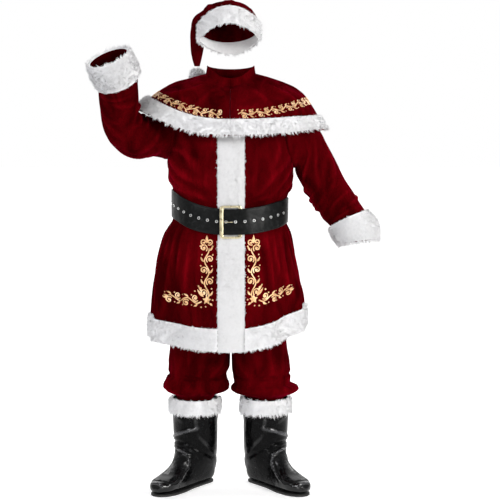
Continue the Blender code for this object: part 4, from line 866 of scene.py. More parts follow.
class Surface:
    """A material's nodes, from places on the piece to its shader."""

    def __init__(self, name):
        self.made = bpy.data.materials.new(name)
        self.made.use_nodes = True
        self.tree = self.made.node_tree
        self.shader = self.tree.nodes["Principled BSDF"]
        self.place = self.tree.nodes.new("ShaderNodeTexCoord").outputs["Object"]

    def add(self, kind, sockets=(), **settings):
        node = self.tree.nodes.new(kind)
        for key, value in settings.items():
            setattr(node, key, value)
        for key, value in dict(sockets).items():
            self.put(node, key, value)
        return node

    def put(self, node, key, value):
        if isinstance(value, bpy.types.NodeSocket):
            self.tree.links.new(value, node.inputs[key])
        else:
            node.inputs[key].default_value = value

    def finish(self, **values):
        for key, value in values.items():
            self.put(self.shader, key.replace("_", " "), value)
        return self.made

    def stretched(self, stretch):
        return self.add("ShaderNodeMapping", {"Vector": self.place, "Scale": stretch}).outputs[0]

    def noise(self, scale, detail=3.0, distortion=0.0, stretch=None, roughness=0.5):
        place = self.stretched(stretch) if stretch else self.place
        sockets = {"Vector": place, "Scale": scale, "Detail": detail,
                   "Distortion": distortion, "Roughness": roughness}
        return self.add("ShaderNodeTexNoise", sockets).outputs[0]

    def cells(self, scale):
        return self.add("ShaderNodeTexVoronoi", {"Vector": self.place, "Scale": scale}).outputs["Distance"]

    def math(self, operation, first, second):
        return self.add("ShaderNodeMath", {0: first, 1: second}, operation=operation).outputs[0]

    def ranged(self, value, low, high, new_low, new_high):
        sockets = {"Value": value, "From Min": low, "From Max": high, "To Min": new_low, "To Max": new_high}
        return self.add("ShaderNodeMapRange", sockets).outputs[0]

    def ramp(self, value, stops):
        node = self.add("ShaderNodeValToRGB", {"Fac": value})
        line = node.color_ramp
        while len(line.elements) < len(stops):
            line.elements.new(0.5)
        for element, (at, colour) in zip(line.elements, stops):
            element.position = at
            element.color = (*colour, 1)
        return node.outputs[0]

    def bump(self, height, distance, strength=1.0, under=None):
        sockets = {"Height": height, "Distance": distance, "Strength": strength}
        if under is not None:
            sockets["Normal"] = under
        return self.add("ShaderNodeBump", sockets).outputs[0]


def once(make):
    """Makes a material the first time and gives the same one after."""
    def give():
        name = make.__name__
        return bpy.data.materials.get(name) or make(Surface(name))
    return give


def shaded(colour, share):
    return tuple(min(1.0, c * share) for c in colour)


@once
def crushed_velvet(s):
    """Crushed velvet: cloudy and streaked nap that catches the light in soft bands, with painted highlights
    on the ridges of its folds and painted shade in the hollows beside them.
    """
    colour = tuple(suit().velvet_colour)
    fold = s.add("ShaderNodeAttribute", attribute_name="fold").outputs["Fac"]
    cloud = s.noise(3.6, 2.0, 0.9, (1.0, 1.0, 0.70))
    streak = s.noise(13.0, 2.0, 1.6, (1.0, 1.0, 0.30), 0.5)
    crush = s.noise(95.0, 4.0, 1.2, (1.0, 1.0, 0.70), 0.6)
    tone = s.math("ADD", s.math("MULTIPLY", cloud, 0.50), s.math("MULTIPLY", streak, 0.34))
    tone = s.math("ADD", tone, s.math("MULTIPLY", crush, 0.16))
    # painted highlight and shade: the fold heights make the colour paler on the ridges and darker in the
    # hollows beside them
    tone = s.math("ADD", tone, s.ranged(fold, -0.15, 0.90, -0.050, 0.140))
    base = s.ramp(tone, [
        (0.38, shaded(colour, 0.42)), (0.47, shaded(colour, 0.78)),
        (0.55, shaded(colour, 1.12)), (0.68, shaded(colour, 2.10)),
    ])
    nap = s.bump(s.noise(1300.0, 2.0), 0.0004, 0.5)
    dents = s.bump(crush, 0.005, 0.30, nap)
    return s.finish(
        Base_Color=base,
        Roughness=s.ranged(streak, 0.35, 0.65, 0.85, 0.62),
        Normal=s.bump(streak, 0.030, 0.30, dents),
        Specular_IOR_Level=0.0,
        Sheen_Weight=s.ranged(tone, 0.42, 0.66, 0.05, 0.75),
        Sheen_Roughness=0.34,
        Sheen_Tint=(*suit().velvet_sheen, 1),
    )


def plush(s, colour):
    """Plush, a little greyer in the hollows of its bump, a painted shade, and in soft random patches."""
    tuft = s.noise(110.0, 4.0, 0.6)
    patch = s.noise(16.0, 3.0, 0.3, (1.0, 1.0, 0.4))
    # painted shade: the colour is greyer where the tuft bump is low; the patch noise greys it at random
    tone = s.math("ADD", s.math("MULTIPLY", tuft, 0.5), s.math("MULTIPLY", patch, 0.5))
    base = s.ramp(tone, [(0.36, shaded(colour, 0.90)), (0.5, shaded(colour, 0.97)), (0.62, colour)])
    fibre = s.bump(s.noise(700.0, 3.0, 0.5), 0.0006, 0.4)
    return s.finish(
        Base_Color=base,
        Roughness=s.ranged(tuft, 0.3, 0.7, 1.0, 0.85),
        Normal=s.bump(tuft, 0.002, 0.3, fibre),
        Specular_IOR_Level=0.10,
        Sheen_Weight=0.15,
        Sheen_Roughness=0.6,
    )


@once
def white_plush(s):
    return plush(s, tuple(suit().plush_colour))


@once
def pressed_plush(s):
    """The placket's short pile, which shows more of its ground."""
    return plush(s, shaded(tuple(suit().plush_colour), 0.67))


def grained(s, colour, gloss, rough, grain_scale, grain_depth, buffed=0.0):
    """Faux leather: a fine grain over soft waves, glossier where folds stand up and painted paler there, a
    painted highlight.

    buffed is how much glossier it is at the toes.
    """
    along = s.add("ShaderNodeSeparateXYZ", {0: s.place}).outputs["Y"]
    toe = s.ranged(along, *TOE_SHINE, buffed, 0.0)
    fold = s.add("ShaderNodeAttribute", attribute_name="fold").outputs["Fac"]
    pebble = s.cells(grain_scale)
    wave = s.noise(16.0, 2.0, 0.6)
    wear = s.noise(60.0, 5.0, 0.8, roughness=0.6)
    # painted highlight: the fold heights make the ridges paler; the wear noise gives a random mottling of its
    # own
    tone = s.math("ADD", s.ranged(wear, 0.3, 0.7, 0.43, 0.57), s.ranged(fold, 0.06, 0.80, 0.0, 0.35))
    base = s.ramp(tone, [
        (0.42, shaded(colour, 0.6)), (0.52, colour),
        (0.60, shaded(colour, 4.0)), (0.86, shaded(colour, 30.0)),
    ])
    grain = s.bump(pebble, grain_depth, 0.5)
    return s.finish(
        Base_Color=base,
        Roughness=s.math("SUBTRACT", s.ranged(wear, 0.35, 0.65, rough - 0.05, rough + 0.08),
                         s.math("MULTIPLY", toe, 0.25)),
        Normal=s.bump(wave, 0.012, 0.25, grain),
        Specular_IOR_Level=s.math("ADD", s.ranged(fold, 0.05, 0.30, gloss, gloss * 6.0), toe),
    )


@once
def belt_grain(s):
    return grained(s, tuple(suit().belt_colour), 0.11, 0.36, 620.0, 0.00016)


@once
def boot_grain(s):
    return grained(s, tuple(suit().boot_colour), 0.075, 0.23, 420.0, 0.00006, 0.30)


def polished(s, colour, shine):
    """Cast metal with fine brushing and faint dulling."""
    brushed = s.noise(260.0, 3.0, 0.2, (0.15, 1.0, 1.0))
    dull = s.noise(60.0, 4.0, 0.5)
    return s.finish(
        Base_Color=s.ramp(dull, [(0.35, shaded(colour, 0.72)), (0.6, colour)]),
        Metallic=1.0,
        Roughness=s.ranged(dull, 0.3, 0.7, shine, shine + 0.16),
        Normal=s.bump(brushed, 0.0003, 0.35),
    )


@once
def buckle_gold(s):
    return polished(s, tuple(suit().buckle_colour), 0.22)


@once
def eyelet_steel(s):
    return polished(s, (0.78, 0.79, 0.78), 0.24)


@once
def gold_print(s):
    """Foil print: gold broken by the nap under it into darker dull patches and paler ones, which are painted
    glints.
    """
    colour = tuple(suit().print_colour)
    fleck = s.noise(420.0, 4.0, 0.4)
    tarnish_and_painted_glint = s.noise(45.0, 3.0, 0.6)
    tone = s.math("ADD", s.math("MULTIPLY", fleck, 0.5), s.math("MULTIPLY", tarnish_and_painted_glint, 0.5))
    # painted highlight: the palest stop of the ramp paints bright glints on the foil at random
    base = s.ramp(tone, [(0.38, shaded(colour, 0.55)), (0.50, colour), (0.64, (0.98, 0.76, 0.50))])
    return s.finish(
        Base_Color=base,
        Metallic=0.30,
        Roughness=s.ranged(fleck, 0.3, 0.7, 0.34, 0.60),
        Normal=s.bump(fleck, 0.0006, 0.6),
    )


@once
def moulded_rubber(s):
    """Black moulded rubber, scuffed grey."""
    scuff = s.noise(120.0, 5.0, 0.8, (1.0, 1.0, 0.3))
    return s.finish(
        Base_Color=s.ramp(scuff, [(0.4, (0.003, 0.003, 0.003)), (0.7, (0.014, 0.014, 0.013))]),
        Roughness=s.ranged(scuff, 0.3, 0.7, 0.55, 0.8),
        Normal=s.bump(scuff, 0.0006, 0.5),
    )


@once
def painted_hole_shade(s):
    """The inside of an eyelet, painted dark as painted shade."""
    hole_mottle = s.noise(500.0, 3.0)
    return s.finish(
        Base_Color=s.ramp(hole_mottle, [(0.4, (0.003, 0.003, 0.003)), (0.7, (0.012, 0.011, 0.010))]),
        Roughness=s.ranged(hole_mottle, 0.3, 0.7, 0.8, 1.0),
    )


# ---------------------------------------------------------------- plush trims


def scatter(grids, spacing, rng):
    """Spots spread evenly over a grid of points, read from every grid given."""
    base = grids[0]
    across, along = base[1:, 1:] - base[:-1, :-1], base[1:, :-1] - base[:-1, 1:]
    area = np.linalg.norm(np.cross(across, along), axis=-1) / 2
    count = np.floor(area / spacing**2 + rng.random(area.shape)).astype(int)
    row, column = np.divmod(np.repeat(np.arange(area.size), count.ravel()), area.shape[1])
    s, t = rng.random((2, len(row), 1))
    return [
        grid[row, column] * (1 - s) * (1 - t) + grid[row + 1, column] * s * (1 - t)
        + grid[row, column + 1] * (1 - s) * t + grid[row + 1, column + 1] * s * t
        for grid in grids
    ]


def level(vectors, normal):
    """The part of the vectors that lies along the surface."""
    return vectors - normal * (vectors * normal).sum(axis=-1, keepdims=True)


def pile_mesh(name, base, normal, comb, length, spacing, blades, seed, rise=0.5):
    """Tufts of tapered blades that lean the way the pile is combed; rise is how steeply they stand."""
    rng = np.random.default_rng(seed)
    length = np.broadcast_to(np.asarray(length, float), base.shape[:2])[..., None]
    root, up, lay, tall = scatter([base, normal, comb, length], spacing, rng)
    up = unit(up)
    lay = level(lay + rng.normal(0, 0.30, lay.shape), up)
    aim = unit(up * (rise + rng.normal(0, 0.08, (len(root), 1))) + lay * (1 - rise))
    reach = tall * rng.uniform(0.75, 1.20, (len(root), 1))
    shape = (len(root), blades, 3)
    offset = level(rng.normal(0, spacing * 0.45, shape), up[:, None])
    start = root[:, None] + offset - up[:, None] * BLADE_SUNK
    end = (root + aim * reach)[:, None] + offset * 0.80 + rng.normal(0, BLADE_STRAY, shape)
    end = start + (end - start) * rng.uniform(0.70, 1.10, (len(root), blades, 1))
    middle = (start + end) / 2 + up[:, None] * reach[:, None] * 0.015
    axis = end - start
    side = unit(np.cross(axis, up[:, None] + rng.normal(0, 0.45, shape)))
    face = unit(np.cross(side, axis))
    turned = np.sign((face * up[:, None]).sum(axis=-1, keepdims=True))
    side, face = side * turned, face * turned
    half = BLADE_HALF * rng.uniform(0.7, 1.25, (len(root), blades, 1))
    points = np.stack([start - side * half, start + side * half, middle + side * half * 0.9, end], axis=2)
    first = np.arange(len(root) * blades)[:, None] * 4
    mesh = new_mesh(name, points.reshape(-1, 3), [first + np.array([0, 1, 2]), first + np.array([0, 2, 3])])
    clump = rng.normal(0, 0.16, (len(root), 1, 3))
    shade = unit(0.80 * up[:, None] + 0.20 * face + clump)
    mesh.shade_smooth()
    mesh.normals_split_custom_set_from_vertices(np.repeat(shade.reshape(-1, 3), 4, axis=0))
    return mesh


def downward(grid):
    return np.broadcast_to(np.array([0.0, 0.0, -1.0]), grid.shape)


def laid_on(place, u, v, clear):
    """Where a trim lies on a piece, and which way is out there."""
    under = place(u, v, clear)
    return under, unit(place(u, v, clear + 0.01) - under)


def plush_trim(node, under, normal, deep, flat, seed, tuft, fringe, splay, comb=None, around=False,
               free_row=-1, blades=15, spacing=0.0058):
    """A plush band in place of its node: a low padded strip, and the pile that grows on it.

    fringe lengthens the pile towards the free edge, which is the first row (0) or the last (-1).
    splay turns it outwards at the sewn edge and at the free one. It is combed down unless comb says.
    """
    across = np.linspace(-1, 1, len(under))[:, None, None]
    towards = across[..., 0] if free_row else -across[..., 0]
    rng = np.random.default_rng(seed + 500)
    lumps = rng.normal(0, 0.0006, under.shape[:2])[..., None]
    base = under + normal * ((1 - 0.6 * across**6) * deep * TRIM_PAD + lumps)
    if around:
        base[:, -1] = base[:, 0]
    outward = unit(np.gradient(base, axis=0)) * np.sign(across)
    turned = np.where(towards < 0, *splay)[..., None] * np.abs(across) ** 3
    held_back = (1 - splay[0] * ease(-towards, 0.55, 0.95))[..., None]
    lay = unit((downward(under) if comb is None else comb) + 1e-6) * held_back + outward * turned
    whole = slice(None, -1) if around else slice(None)
    mesh = wall_mesh(node + "_strip", base[:, whole], under[:, whole], around)
    strip = add_piece(node + "_strip", mesh, white_plush())
    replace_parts(strip, node)
    length = tuft * suit().pile_length * (1 + fringe * ease(towards, 0.4, 1.0))
    mesh = pile_mesh(node + "_pile", base, normal, lay, length, spacing, blades, seed)
    pile = add_piece(node + "_pile", mesh, white_plush(), sharp=0)


# ---------------------------------------------------------------- strokes of the print


def stroke(points, half):
    """A line of the print in the flat: its middle line and half its width at each point."""
    return np.asarray(points, float), np.broadcast_to(np.asarray(half, float), len(points))


def spiral(centre, radius, start, turns, half):
    """A curl that winds in from its outer end. start is in degrees; turns may be negative."""
    s = np.linspace(0, 1, 26)
    turn = np.radians(start + 360 * turns * s)
    reach = radius * (1 - 0.80 * s**0.85)
    points = np.stack([centre[0] + reach * np.cos(turn), centre[1] + reach * np.sin(turn)], axis=-1)
    return stroke(points, half * (0.75 + 0.45 * s**2))


def leaf(base, aim, length, half, curl=0.0):
    """A teardrop leaf that starts at base and points along aim, in degrees."""
    s = np.linspace(0, 1, 9)
    turn = np.radians(aim + curl * s)
    steps = np.stack([np.cos(turn[:-1]), np.sin(turn[:-1])], axis=-1) * length * s[1]
    points = np.add(base, np.concatenate([np.zeros((1, 2)), np.cumsum(steps, axis=0)]))
    return stroke(points, half * np.maximum(np.sin(np.pi * s**0.75), 0.08))


def dot(centre, radius):
    s = np.cos(np.linspace(np.pi, 0, 7))
    points = np.stack([centre[0] + radius * s, centre[1] + 0 * s], axis=-1)
    return stroke(points, np.maximum(radius * np.sqrt(1 - s**2), radius * 0.1))


def vine(length, swing, period, half, tip=True):
    """A waving stem from the origin along +x, with a curl in each bend, a leaf and dots."""
    x = np.linspace(0, length, int(length / 0.0035))
    taper = np.minimum(1, (length - x) / 0.03 + 0.45)
    marks = [stroke(np.stack([x, swing * np.sin(2 * np.pi * x / period)], axis=-1), half * 0.85 * taper)]
    curl = period * 0.185
    for k in range(int(length / period * 2 - 0.25) + 1):
        at, way = (k + 0.5) * period / 2, 1 if k % 2 == 0 else -1
        if at > length:
            break
        centre = (at + 0.08 * period, -way * (curl - 0.35 * swing))
        foot = (at - 0.04 * period, way * (swing + half))
        marks += [
            spiral(centre, curl, way * 140, -way * 1.3, half), dot(centre, half * 1.35),
            leaf(foot, way * 52, period * 0.26, half * 1.35, -way * 45),
            dot((at - 0.23 * period, way * (swing + 0.17 * period)), half * 1.15),
            dot((at + 0.27 * period, way * (swing + 0.12 * period)), half * 0.95),
        ]
    if tip:
        marks.append(leaf((length, 0.0), 25, period * 0.34, half * 1.7, -60))
        marks.append(leaf((length, 0.0), -40, period * 0.26, half * 1.4, 50))
    return marks


def moved(marks, shift, turn=0.0, mirror=1):
    """The same strokes mirrored across their own line, turned, and moved."""
    cosine, sine = np.cos(np.radians(turn)), np.sin(np.radians(turn))
    turned = np.array([[cosine, sine], [-sine * mirror, cosine * mirror]])
    return [(points @ turned + shift, half) for points, half in marks]


def print_mesh(name, marks, place):
    """The strokes as thin closed ribbons; place gives points of the cloth for flat points and a lift."""
    flat, faces, first = [], [], 0
    for points, half in marks:
        along = np.gradient(points, axis=0)
        normal = np.stack([-along[:, 1], along[:, 0]], axis=-1)
        normal = normal / np.maximum(np.linalg.norm(normal, axis=-1, keepdims=True), 1e-9)
        left, right = points + normal * half[:, None], points - normal * half[:, None]
        flat.append(np.stack([left, right, right, left], axis=1).reshape(-1, 2))
        number = first + np.arange(len(points) * 4).reshape(-1, 4)
        for k in range(4):
            faces.append(strip_faces(number[:, k], number[:, (k + 1) % 4]))
        faces.append(np.stack([number[0], number[-1][::-1]]))
        first += len(points) * 4
    flat = np.concatenate(flat)
    lift = np.tile([PRINT_TOP, PRINT_TOP, PRINT_UNDER, PRINT_UNDER], len(flat) // 4)
    mesh = new_mesh(name, place(flat[:, 0], flat[:, 1], lift), [np.concatenate(faces)])
    mesh.flip_normals()
    return mesh


def lengths_along(line):
    """How far along a line, or along each row of a grid, its points are."""
    steps = np.linalg.norm(np.diff(line, axis=-2), axis=-1)
    return np.concatenate([0 * steps[..., :1], np.cumsum(steps, axis=-1)], axis=-1)


def sampled(table, rows, columns, row, column):
    """A value read between the entries of an evenly spaced table."""
    r = np.clip((row - rows[0]) / (rows[1] - rows[0]), 0, len(rows) - 1.001)
    c = np.clip((column - columns[0]) / (columns[1] - columns[0]), 0, len(columns) - 1.001)
    i, j = r.astype(int), c.astype(int)
    s, t = r - i, c - j
    return (
        table[i, j] * (1 - s) * (1 - t) + table[i + 1, j] * s * (1 - t)
        + table[i, j + 1] * (1 - s) * t + table[i + 1, j + 1] * s * t
    )


def skirt_place(side):
    """Turns metres out from the placket's edge and a height into points of one skirt front."""
    heights, outs, angles = np.linspace(0.60, 1.02, 43), np.linspace(0, 0.34, 69), np.linspace(0, 110, 221)
    grid = coat_form(side * angles[None], heights[:, None])
    arc = lengths_along(grid)
    edge = placket_angle(heights, side)
    table = np.array([
        np.interp(np.interp(edge[k], angles, arc[k]) + outs, arc[k], angles) for k in range(len(heights))
    ])

    def place(out, height, lift):
        return on_coat(side * sampled(table, heights, outs, height, out), height, lift)

    return place


def cape_place(middle):
    """Turns metres round the cape from its front and metres up from a line into points of the cape."""
    angles = np.linspace(0, 360, 721)
    arc = lengths_along(cape_form(angles, middle))
    run = cape_form(angles, middle + 0.02) - cape_form(angles, middle - 0.02)
    slope = np.linalg.norm(run, axis=-1) / 0.04

    def place(along, up, lift):
        angle = np.interp(along, arc, angles)
        return on_cape(angle, middle - up / np.interp(angle, angles, slope), lift)

    return place, arc[-1]


# ---------------------------------------------------------------- pieces


def coat_panel(node, angles, rows):
    outer, inner = on_coat(angles, rows), on_coat(angles, rows, -VELVET)
    velvet_piece(node, outer, inner, coat_folds(angles, rows))


def make_coat():
    round_armhole = ARMHOLE_LOW + (ARMHOLE_HIGH - ARMHOLE_LOW) * (1 - np.cos(np.linspace(0, np.pi, 41))) / 2
    heights = np.concatenate([
        spans((HEM_LOW, SKIRT_TOP, 54), (SKIRT_TOP, ARMHOLE_LOW, 36))[:-1],
        round_armhole, np.linspace(ARMHOLE_HIGH, NECK_HIGH, 9)[1:],
    ])
    rows = heights[:, None]
    turn = armhole_turn(heights)
    for node, side in (("coat_front_left", -1), ("coat_front_right", 1)):
        first = gap_angle(0, heights)[:, None]
        last = (90 - turn - gap_angle(side * (90 - turn), heights))[:, None]
        angles = side * (first + (last - first) * spaced(44))
        coat_panel(node, angles, rows)
    reach = (90 - turn - gap_angle(90 + turn, heights))[:, None]
    coat_panel("coat_back", 180 - reach + 2 * reach * spaced(84), rows)


def sleeve_surface(table, side, folds, creases):
    """The dressed sleeve: its grid, its normals and the distance along the arm of each row."""
    at = np.linspace(1, 11, 84)
    arm = ring_grid(table, at, SLEEVE_SIDES, side, folds)
    early = at < 2
    share = (HEAD_SHARE + (1 - HEAD_SHARE) * (at[early] - 1))[:, None, None]
    arm[early] = arm[early] * share + armhole_ring(side, HEAD_LIFT) * (1 - share)
    seam, head = armhole_ring(side, 2 * SEAM), armhole_ring(side, SLEEVE_HEAD)
    start = [seam, seam + (head - seam) * 0.5, head, head + (arm[0] - head) * 0.5]
    grid = np.concatenate([np.stack(start), arm])
    rows = np.concatenate([[0, 0.2, 0.4, 0.7], at])
    normal = grid_normals(grid)
    angle = np.arange(SLEEVE_SIDES) * 360 / SLEEVE_SIDES
    amount = creased(angle[None], rows[:, None], creases, SLEEVE_SCALE)
    amount = amount * (ease(rows, 1.6, 3.2) * (1 - 0.7 * ease(rows, 8.9, 9.4)))[:, None]
    return grid + normal * amount[..., None], normal, amount, rows


def make_sleeve(node, table, side, folds, creases):
    """A sleeve and its plush cuff."""
    outer, normal, amount, rows = sleeve_surface(table, side, folds, creases)
    inner = outer - normal * VELVET
    inner[0] = armhole_ring(side, 2 * SEAM, VELVET)
    velvet_piece(node, outer, inner, amount, around=True)
    cuffed = rows >= CUFF_START
    facing = np.concatenate([normal, normal[:, :1]], axis=1)[cuffed]
    under = np.concatenate([outer, outer[:, :1]], axis=1)[cuffed] + facing * CUFF_CLEAR
    comb = unit(np.gradient(under, axis=0)) + 0.4 * downward(under)
    plush_trim(node.replace("sleeve", "cuff_fur"), under, facing, CUFF_PILE, flat=(0.085, 0.52),
               seed=11 if side < 0 else 12, tuft=0.0130, fringe=0.3, splay=(0.0, 0.5), comb=comb, around=True)


def make_cape():
    """The cape with its plush hem and its standing neckband."""
    gap = np.degrees(SEAM / 2 / NECK_RADIUS)
    angles = (gap + (360 - 2 * gap) * np.linspace(0, 1, 171))[None]
    s = np.linspace(0, 1, 44)[:, None]
    velvet_piece("cape", on_cape(angles, s), on_cape(angles, s, -VELVET), cape_folds(angles, s))
    top = by_side(angles, **CAPE_FUR_TOP)
    down = top + (CAPE_FUR_END - top) * np.linspace(0, 1, 9)[:, None]
    plush_trim("cape_hem_fur", *laid_on(on_cape, angles, down, CAPE_CLEAR), CAPE_PILE, flat=(2.0, 0.06),
               seed=21, tuft=0.0120, fringe=0.8, splay=(0.2, 0.5), blades=14)
    share = np.linspace(0, 1, 7)[:, None, None]
    base = cape_form(angles, np.zeros((7, 1)))
    outward = unit((base - np.array([0, 0.001, 0])) * np.array([1, 1, 0]))
    rise = NECKBAND_LOW + (NECKBAND_HIGH - NECKBAND_LOW) * share
    lean = NECKBAND_IN + NECKBAND_LEAN * share**0.7
    outer = base - outward * lean + rise * np.array([0, 0, 1])
    velvet_piece("cape_neckband", outer, outer - outward * VELVET, 0.0)


def make_plush():
    """The placket and the band round the hem."""
    heights = spans((HEM_LOW, 0.96, 42), (0.96, 1.09, 16), (1.09, PLACKET_TOP, 43))
    left, right = placket_angle(heights, -1), placket_angle(heights, 1)
    share = np.linspace(0.006, 0.994, 15)
    angles = (-left[:, None] + (left + right)[:, None] * share).T
    pressed = np.minimum(bump(heights, BELT_FRONT, 0.075) * 1.6, 1)
    deep = PLACKET_PILE + (PLACKET_PRESSED - PLACKET_PILE) * pressed
    deep = deep * (1 - 0.6 * ease(heights, *PLACKET_THINS))
    clear = CLEAR + 0.001 * ease(heights, *PLACKET_LIFTS)
    make_placket(*laid_on(on_coat, angles, heights[None], clear), deep, heights)

    beside = np.array([0.3])  # degrees between the placket and the ends of the hem band
    turn = np.concatenate([
        placket_angle(HEM_LOW, 1) + beside, np.linspace(14, 346, 210),
        360 - placket_angle(HEM_LOW, -1) - beside,
    ])[None]
    rows = HEM_LOW + HEM_BAND * np.linspace(0.03, 0.99, 11)[:, None]
    plush_trim("hem_fur", *laid_on(on_coat, turn, rows, CLEAR), HEM_PILE, flat=(1.78, 0.085),
               seed=31, tuft=0.0105, fringe=0.15, splay=(0.4, 0.3), free_row=0, spacing=0.0055)


def make_placket(under, normal, deep, heights):
    """One strip from neck to hem, with its pile worn flat where the belt lies on it."""
    across = np.linspace(-1, 1, len(under))[:, None]
    base = under + normal * ((1 - 0.5 * across**6) * deep * PLACKET_PAD)[..., None]
    strip = add_piece("placket_strip", wall_mesh("placket_strip", base, under), pressed_plush())
    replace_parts(strip, "placket")
    outward = unit(np.gradient(base, axis=0)) * np.sign(across)[..., None]
    lay = downward(base) + outward * (0.5 * np.abs(across) ** 5)[..., None]
    tall = (PLACKET_TUFT + 0.0010 * np.abs(across) ** 4) * suit().pile_length
    for number, part in enumerate((heights < BELT_FRONT - BELT_CLEAR, heights > BELT_FRONT + BELT_CLEAR)):
        name = f"placket_pile_{number + 1}"
        mesh = pile_mesh(name, base[:, part], normal[:, part], lay[:, part], tall,
                         spacing=0.0048, blades=13, seed=41 + number, rise=0.14)
        add_piece(name, mesh, pressed_plush(), sharp=0)


def make_belt():
    """The strap, from its fixed end under the buckle round to its rounded free end."""
    angle = np.linspace(BELT_START, BELT_FINISH, 268)[None]
    tip = np.clip((angle - BELT_FINISH + BELT_TIP) / BELT_TIP, 0, 1)
    half, edge = np.array(BELT_SECTION).T
    share = np.concatenate([-half, half[::-1]])[:, None] * np.sqrt(1 - 0.75 * tip**2)
    relief = np.concatenate([edge, edge[::-1]])[:, None]
    waves = 0.0003 * np.sin(np.radians(angle * 23)) * np.cos(2.4 * share + np.radians(angle * 7))
    inner = belt_face(angle, share, belt_lift(angle))
    outer = belt_face(angle, share, belt_lift(angle) + LEATHER + relief + waves)
    strap = add_piece("belt_leather", wall_mesh("belt_leather", outer, inner), belt_grain())
    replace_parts(strap, "belt_strap")
    make_eyelets()


def make_eyelets():
    """Metal eyelets round the whole strap, one every EYELET_STEP."""
    angle = np.linspace(BELT_START + 60, BELT_FINISH - 5, 1400)
    line = belt_face(angle, 0.0, belt_lift(angle) + LEATHER)
    arc = lengths_along(line)
    front = np.argmin(np.abs(line[:, 0] - EYELET_FRONT) + 10 * (line[:, 1] > 0) + 10 * (angle < 300))
    count = int(arc[-1] / EYELET_STEP) + 2
    places = arc[front] + EYELET_STEP * np.arange(-count, count)
    at = np.interp(places[(places > 0) & (places < arc[-1])], arc, angle)
    lift = belt_lift(at) + LEATHER
    centre = belt_face(at, 0.0, lift)
    normal = unit(belt_face(at, 0.0, lift + 0.01) - centre)
    up = unit(level(belt_face(at, 0.3, lift) - centre, normal))
    turn = np.linspace(0, 2 * np.pi, 20, endpoint=False)[:, None]
    spoke = up[:, None] * np.cos(turn) + np.cross(up, normal)[:, None] * np.sin(turn)
    outside, inside = suit().eyelet_radius, suit().eyelet_radius * EYELET_HOLE

    def rings(sizes):
        """Rings round every eyelet, from radii and heights: eyelet, ring, turn, xyz."""
        return np.stack([centre[:, None] + spoke * r + normal[:, None] * h for r, h in sizes], axis=1)

    bar = rings([
        ((outside + inside) / 2 + (outside - inside) / 2 * np.cos(k), EYELET_LIFT + EYELET_BULGE * np.sin(k))
        for k in np.linspace(0, 2 * np.pi, 8, endpoint=False)
    ])
    faces = grid_faces(numbered(bar, looped=True))
    mesh = new_mesh("belt_eyelets", bar.reshape(-1, 3), [faces])
    add_piece("belt_eyelets", mesh, eyelet_steel())
    # painted shade: a dark round plate stands in each eyelet's hole
    shade_disc = rings([(inside * 1.1, height) for height in HOLE_HEIGHTS])
    number = numbered(shade_disc)
    faces = [grid_faces(number), number[:, 1, :-1], number[:, 0, -2::-1]]
    add_piece("belt_holes", new_mesh("belt_holes", shade_disc.reshape(-1, 3), faces), painted_hole_shade())


def make_buckle():
    """The frame, and the prong that lies across it."""
    front = coat_form(0.0, BELT_FRONT)
    rings = []
    for turn in np.linspace(0, 2 * np.pi, 20, endpoint=False):
        cosine, sine = np.cos(turn), np.sin(turn)
        share = 0.5 - 0.5 * np.sign(cosine) * np.abs(cosine) ** 0.6
        out = np.sign(sine) * np.abs(sine) ** 0.6
        corner = BUCKLE_CORNER + (BUCKLE_WINDOW - BUCKLE_CORNER) * share
        wide, tall = BUCKLE_WIDE - 2 * share * BUCKLE_BAR, BUCKLE_TALL - 2 * share * BUCKLE_END
        outline = rounded_rectangle(wide, tall, corner)
        x, z = outline[:, 0] + BUCKLE_X, outline[:, 1] + front[2]
        lift = buckle_lift(x, -outline[:, 1]) + out * BUCKLE_THICK / 2
        rings.append(np.stack([x, front[1] - lift, z], axis=-1))
    grid = np.stack(rings)
    faces = grid_faces(numbered(grid, looped=True))[:, ::-1]
    mesh = new_mesh("buckle_frame", grid.reshape(-1, 3), [faces])
    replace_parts(add_piece("buckle_frame", mesh, buckle_gold()), "belt_buckle")

    s = np.linspace(0, 1, 40)
    x = PRONG_HEEL[0] + (PRONG[-1][0] - PRONG_HEEL[0]) * s
    keys, lifts = np.array([PRONG_HEEL, *PRONG]).T
    lift = curve_through(-keys, lifts, -x)
    radius = PRONG_RADIUS * (1.15 - 0.45 * s) * np.sqrt(np.clip((1.02 - s) / 0.05, 0, 1))
    turn = np.linspace(0, 2 * np.pi, 16, endpoint=False)
    ring = np.stack([0 * turn, -np.cos(turn), 0.9 * np.sin(turn)], axis=-1)
    line = np.stack([x, front[1] - lift, 0 * x + front[2]], axis=-1)
    mesh = solid_mesh("buckle_prong", line[:, None] + ring * radius[:, None, None])
    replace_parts(add_piece("buckle_prong", mesh, buckle_gold()), "belt_prong")


def skirt_marks(half):
    """A stem with a bud on its tip, a branch along the hem, and a flower where the two meet."""
    marks = moved(vine(*SKIRT_STEM, half, tip=False), (0, 0), 90)
    marks += [spiral((x, y), 0.0125, start, turns, half) for x, y, start, turns in BUD_CURLS]
    marks += moved(vine(*SKIRT_BRANCH, half), BRANCH_START, mirror=-1)
    marks += [leaf((0, 0), 90 + 72 * k, 0.0165, half * 1.8) for k in range(5)]
    marks += [leaf((x, y), aim, length, half * wide, curl) for x, y, aim, length, wide, curl in SKIRT_LEAVES]
    return marks + [dot((x, y), half * size) for x, y, size in SKIRT_DOTS]


def print_on(name, marks, place):
    add_piece(name, print_mesh(name, marks, place), gold_print(), sharp=40)


def make_scrolls():
    """Gold vines printed beside the placket and round the cape."""
    half = suit().print_stroke / 2
    for name, side in (("skirt_print_left", -1), ("skirt_print_right", 1)):
        corner = (SKIRT_PRINT_OUT[side], SKIRT_PRINT_LOW)
        print_on(name, moved(skirt_marks(half), corner), skirt_place(side))
    place, around = cape_place(CAPE_PRINT_LINE)
    length = around - 2 * CAPE_PRINT_START
    marks = vine(length, CAPE_PRINT_SWING, length / CAPE_PRINT_BENDS, half * 0.80, tip=False)
    print_on("cape_print", moved(marks, (CAPE_PRINT_START, 0)), place)


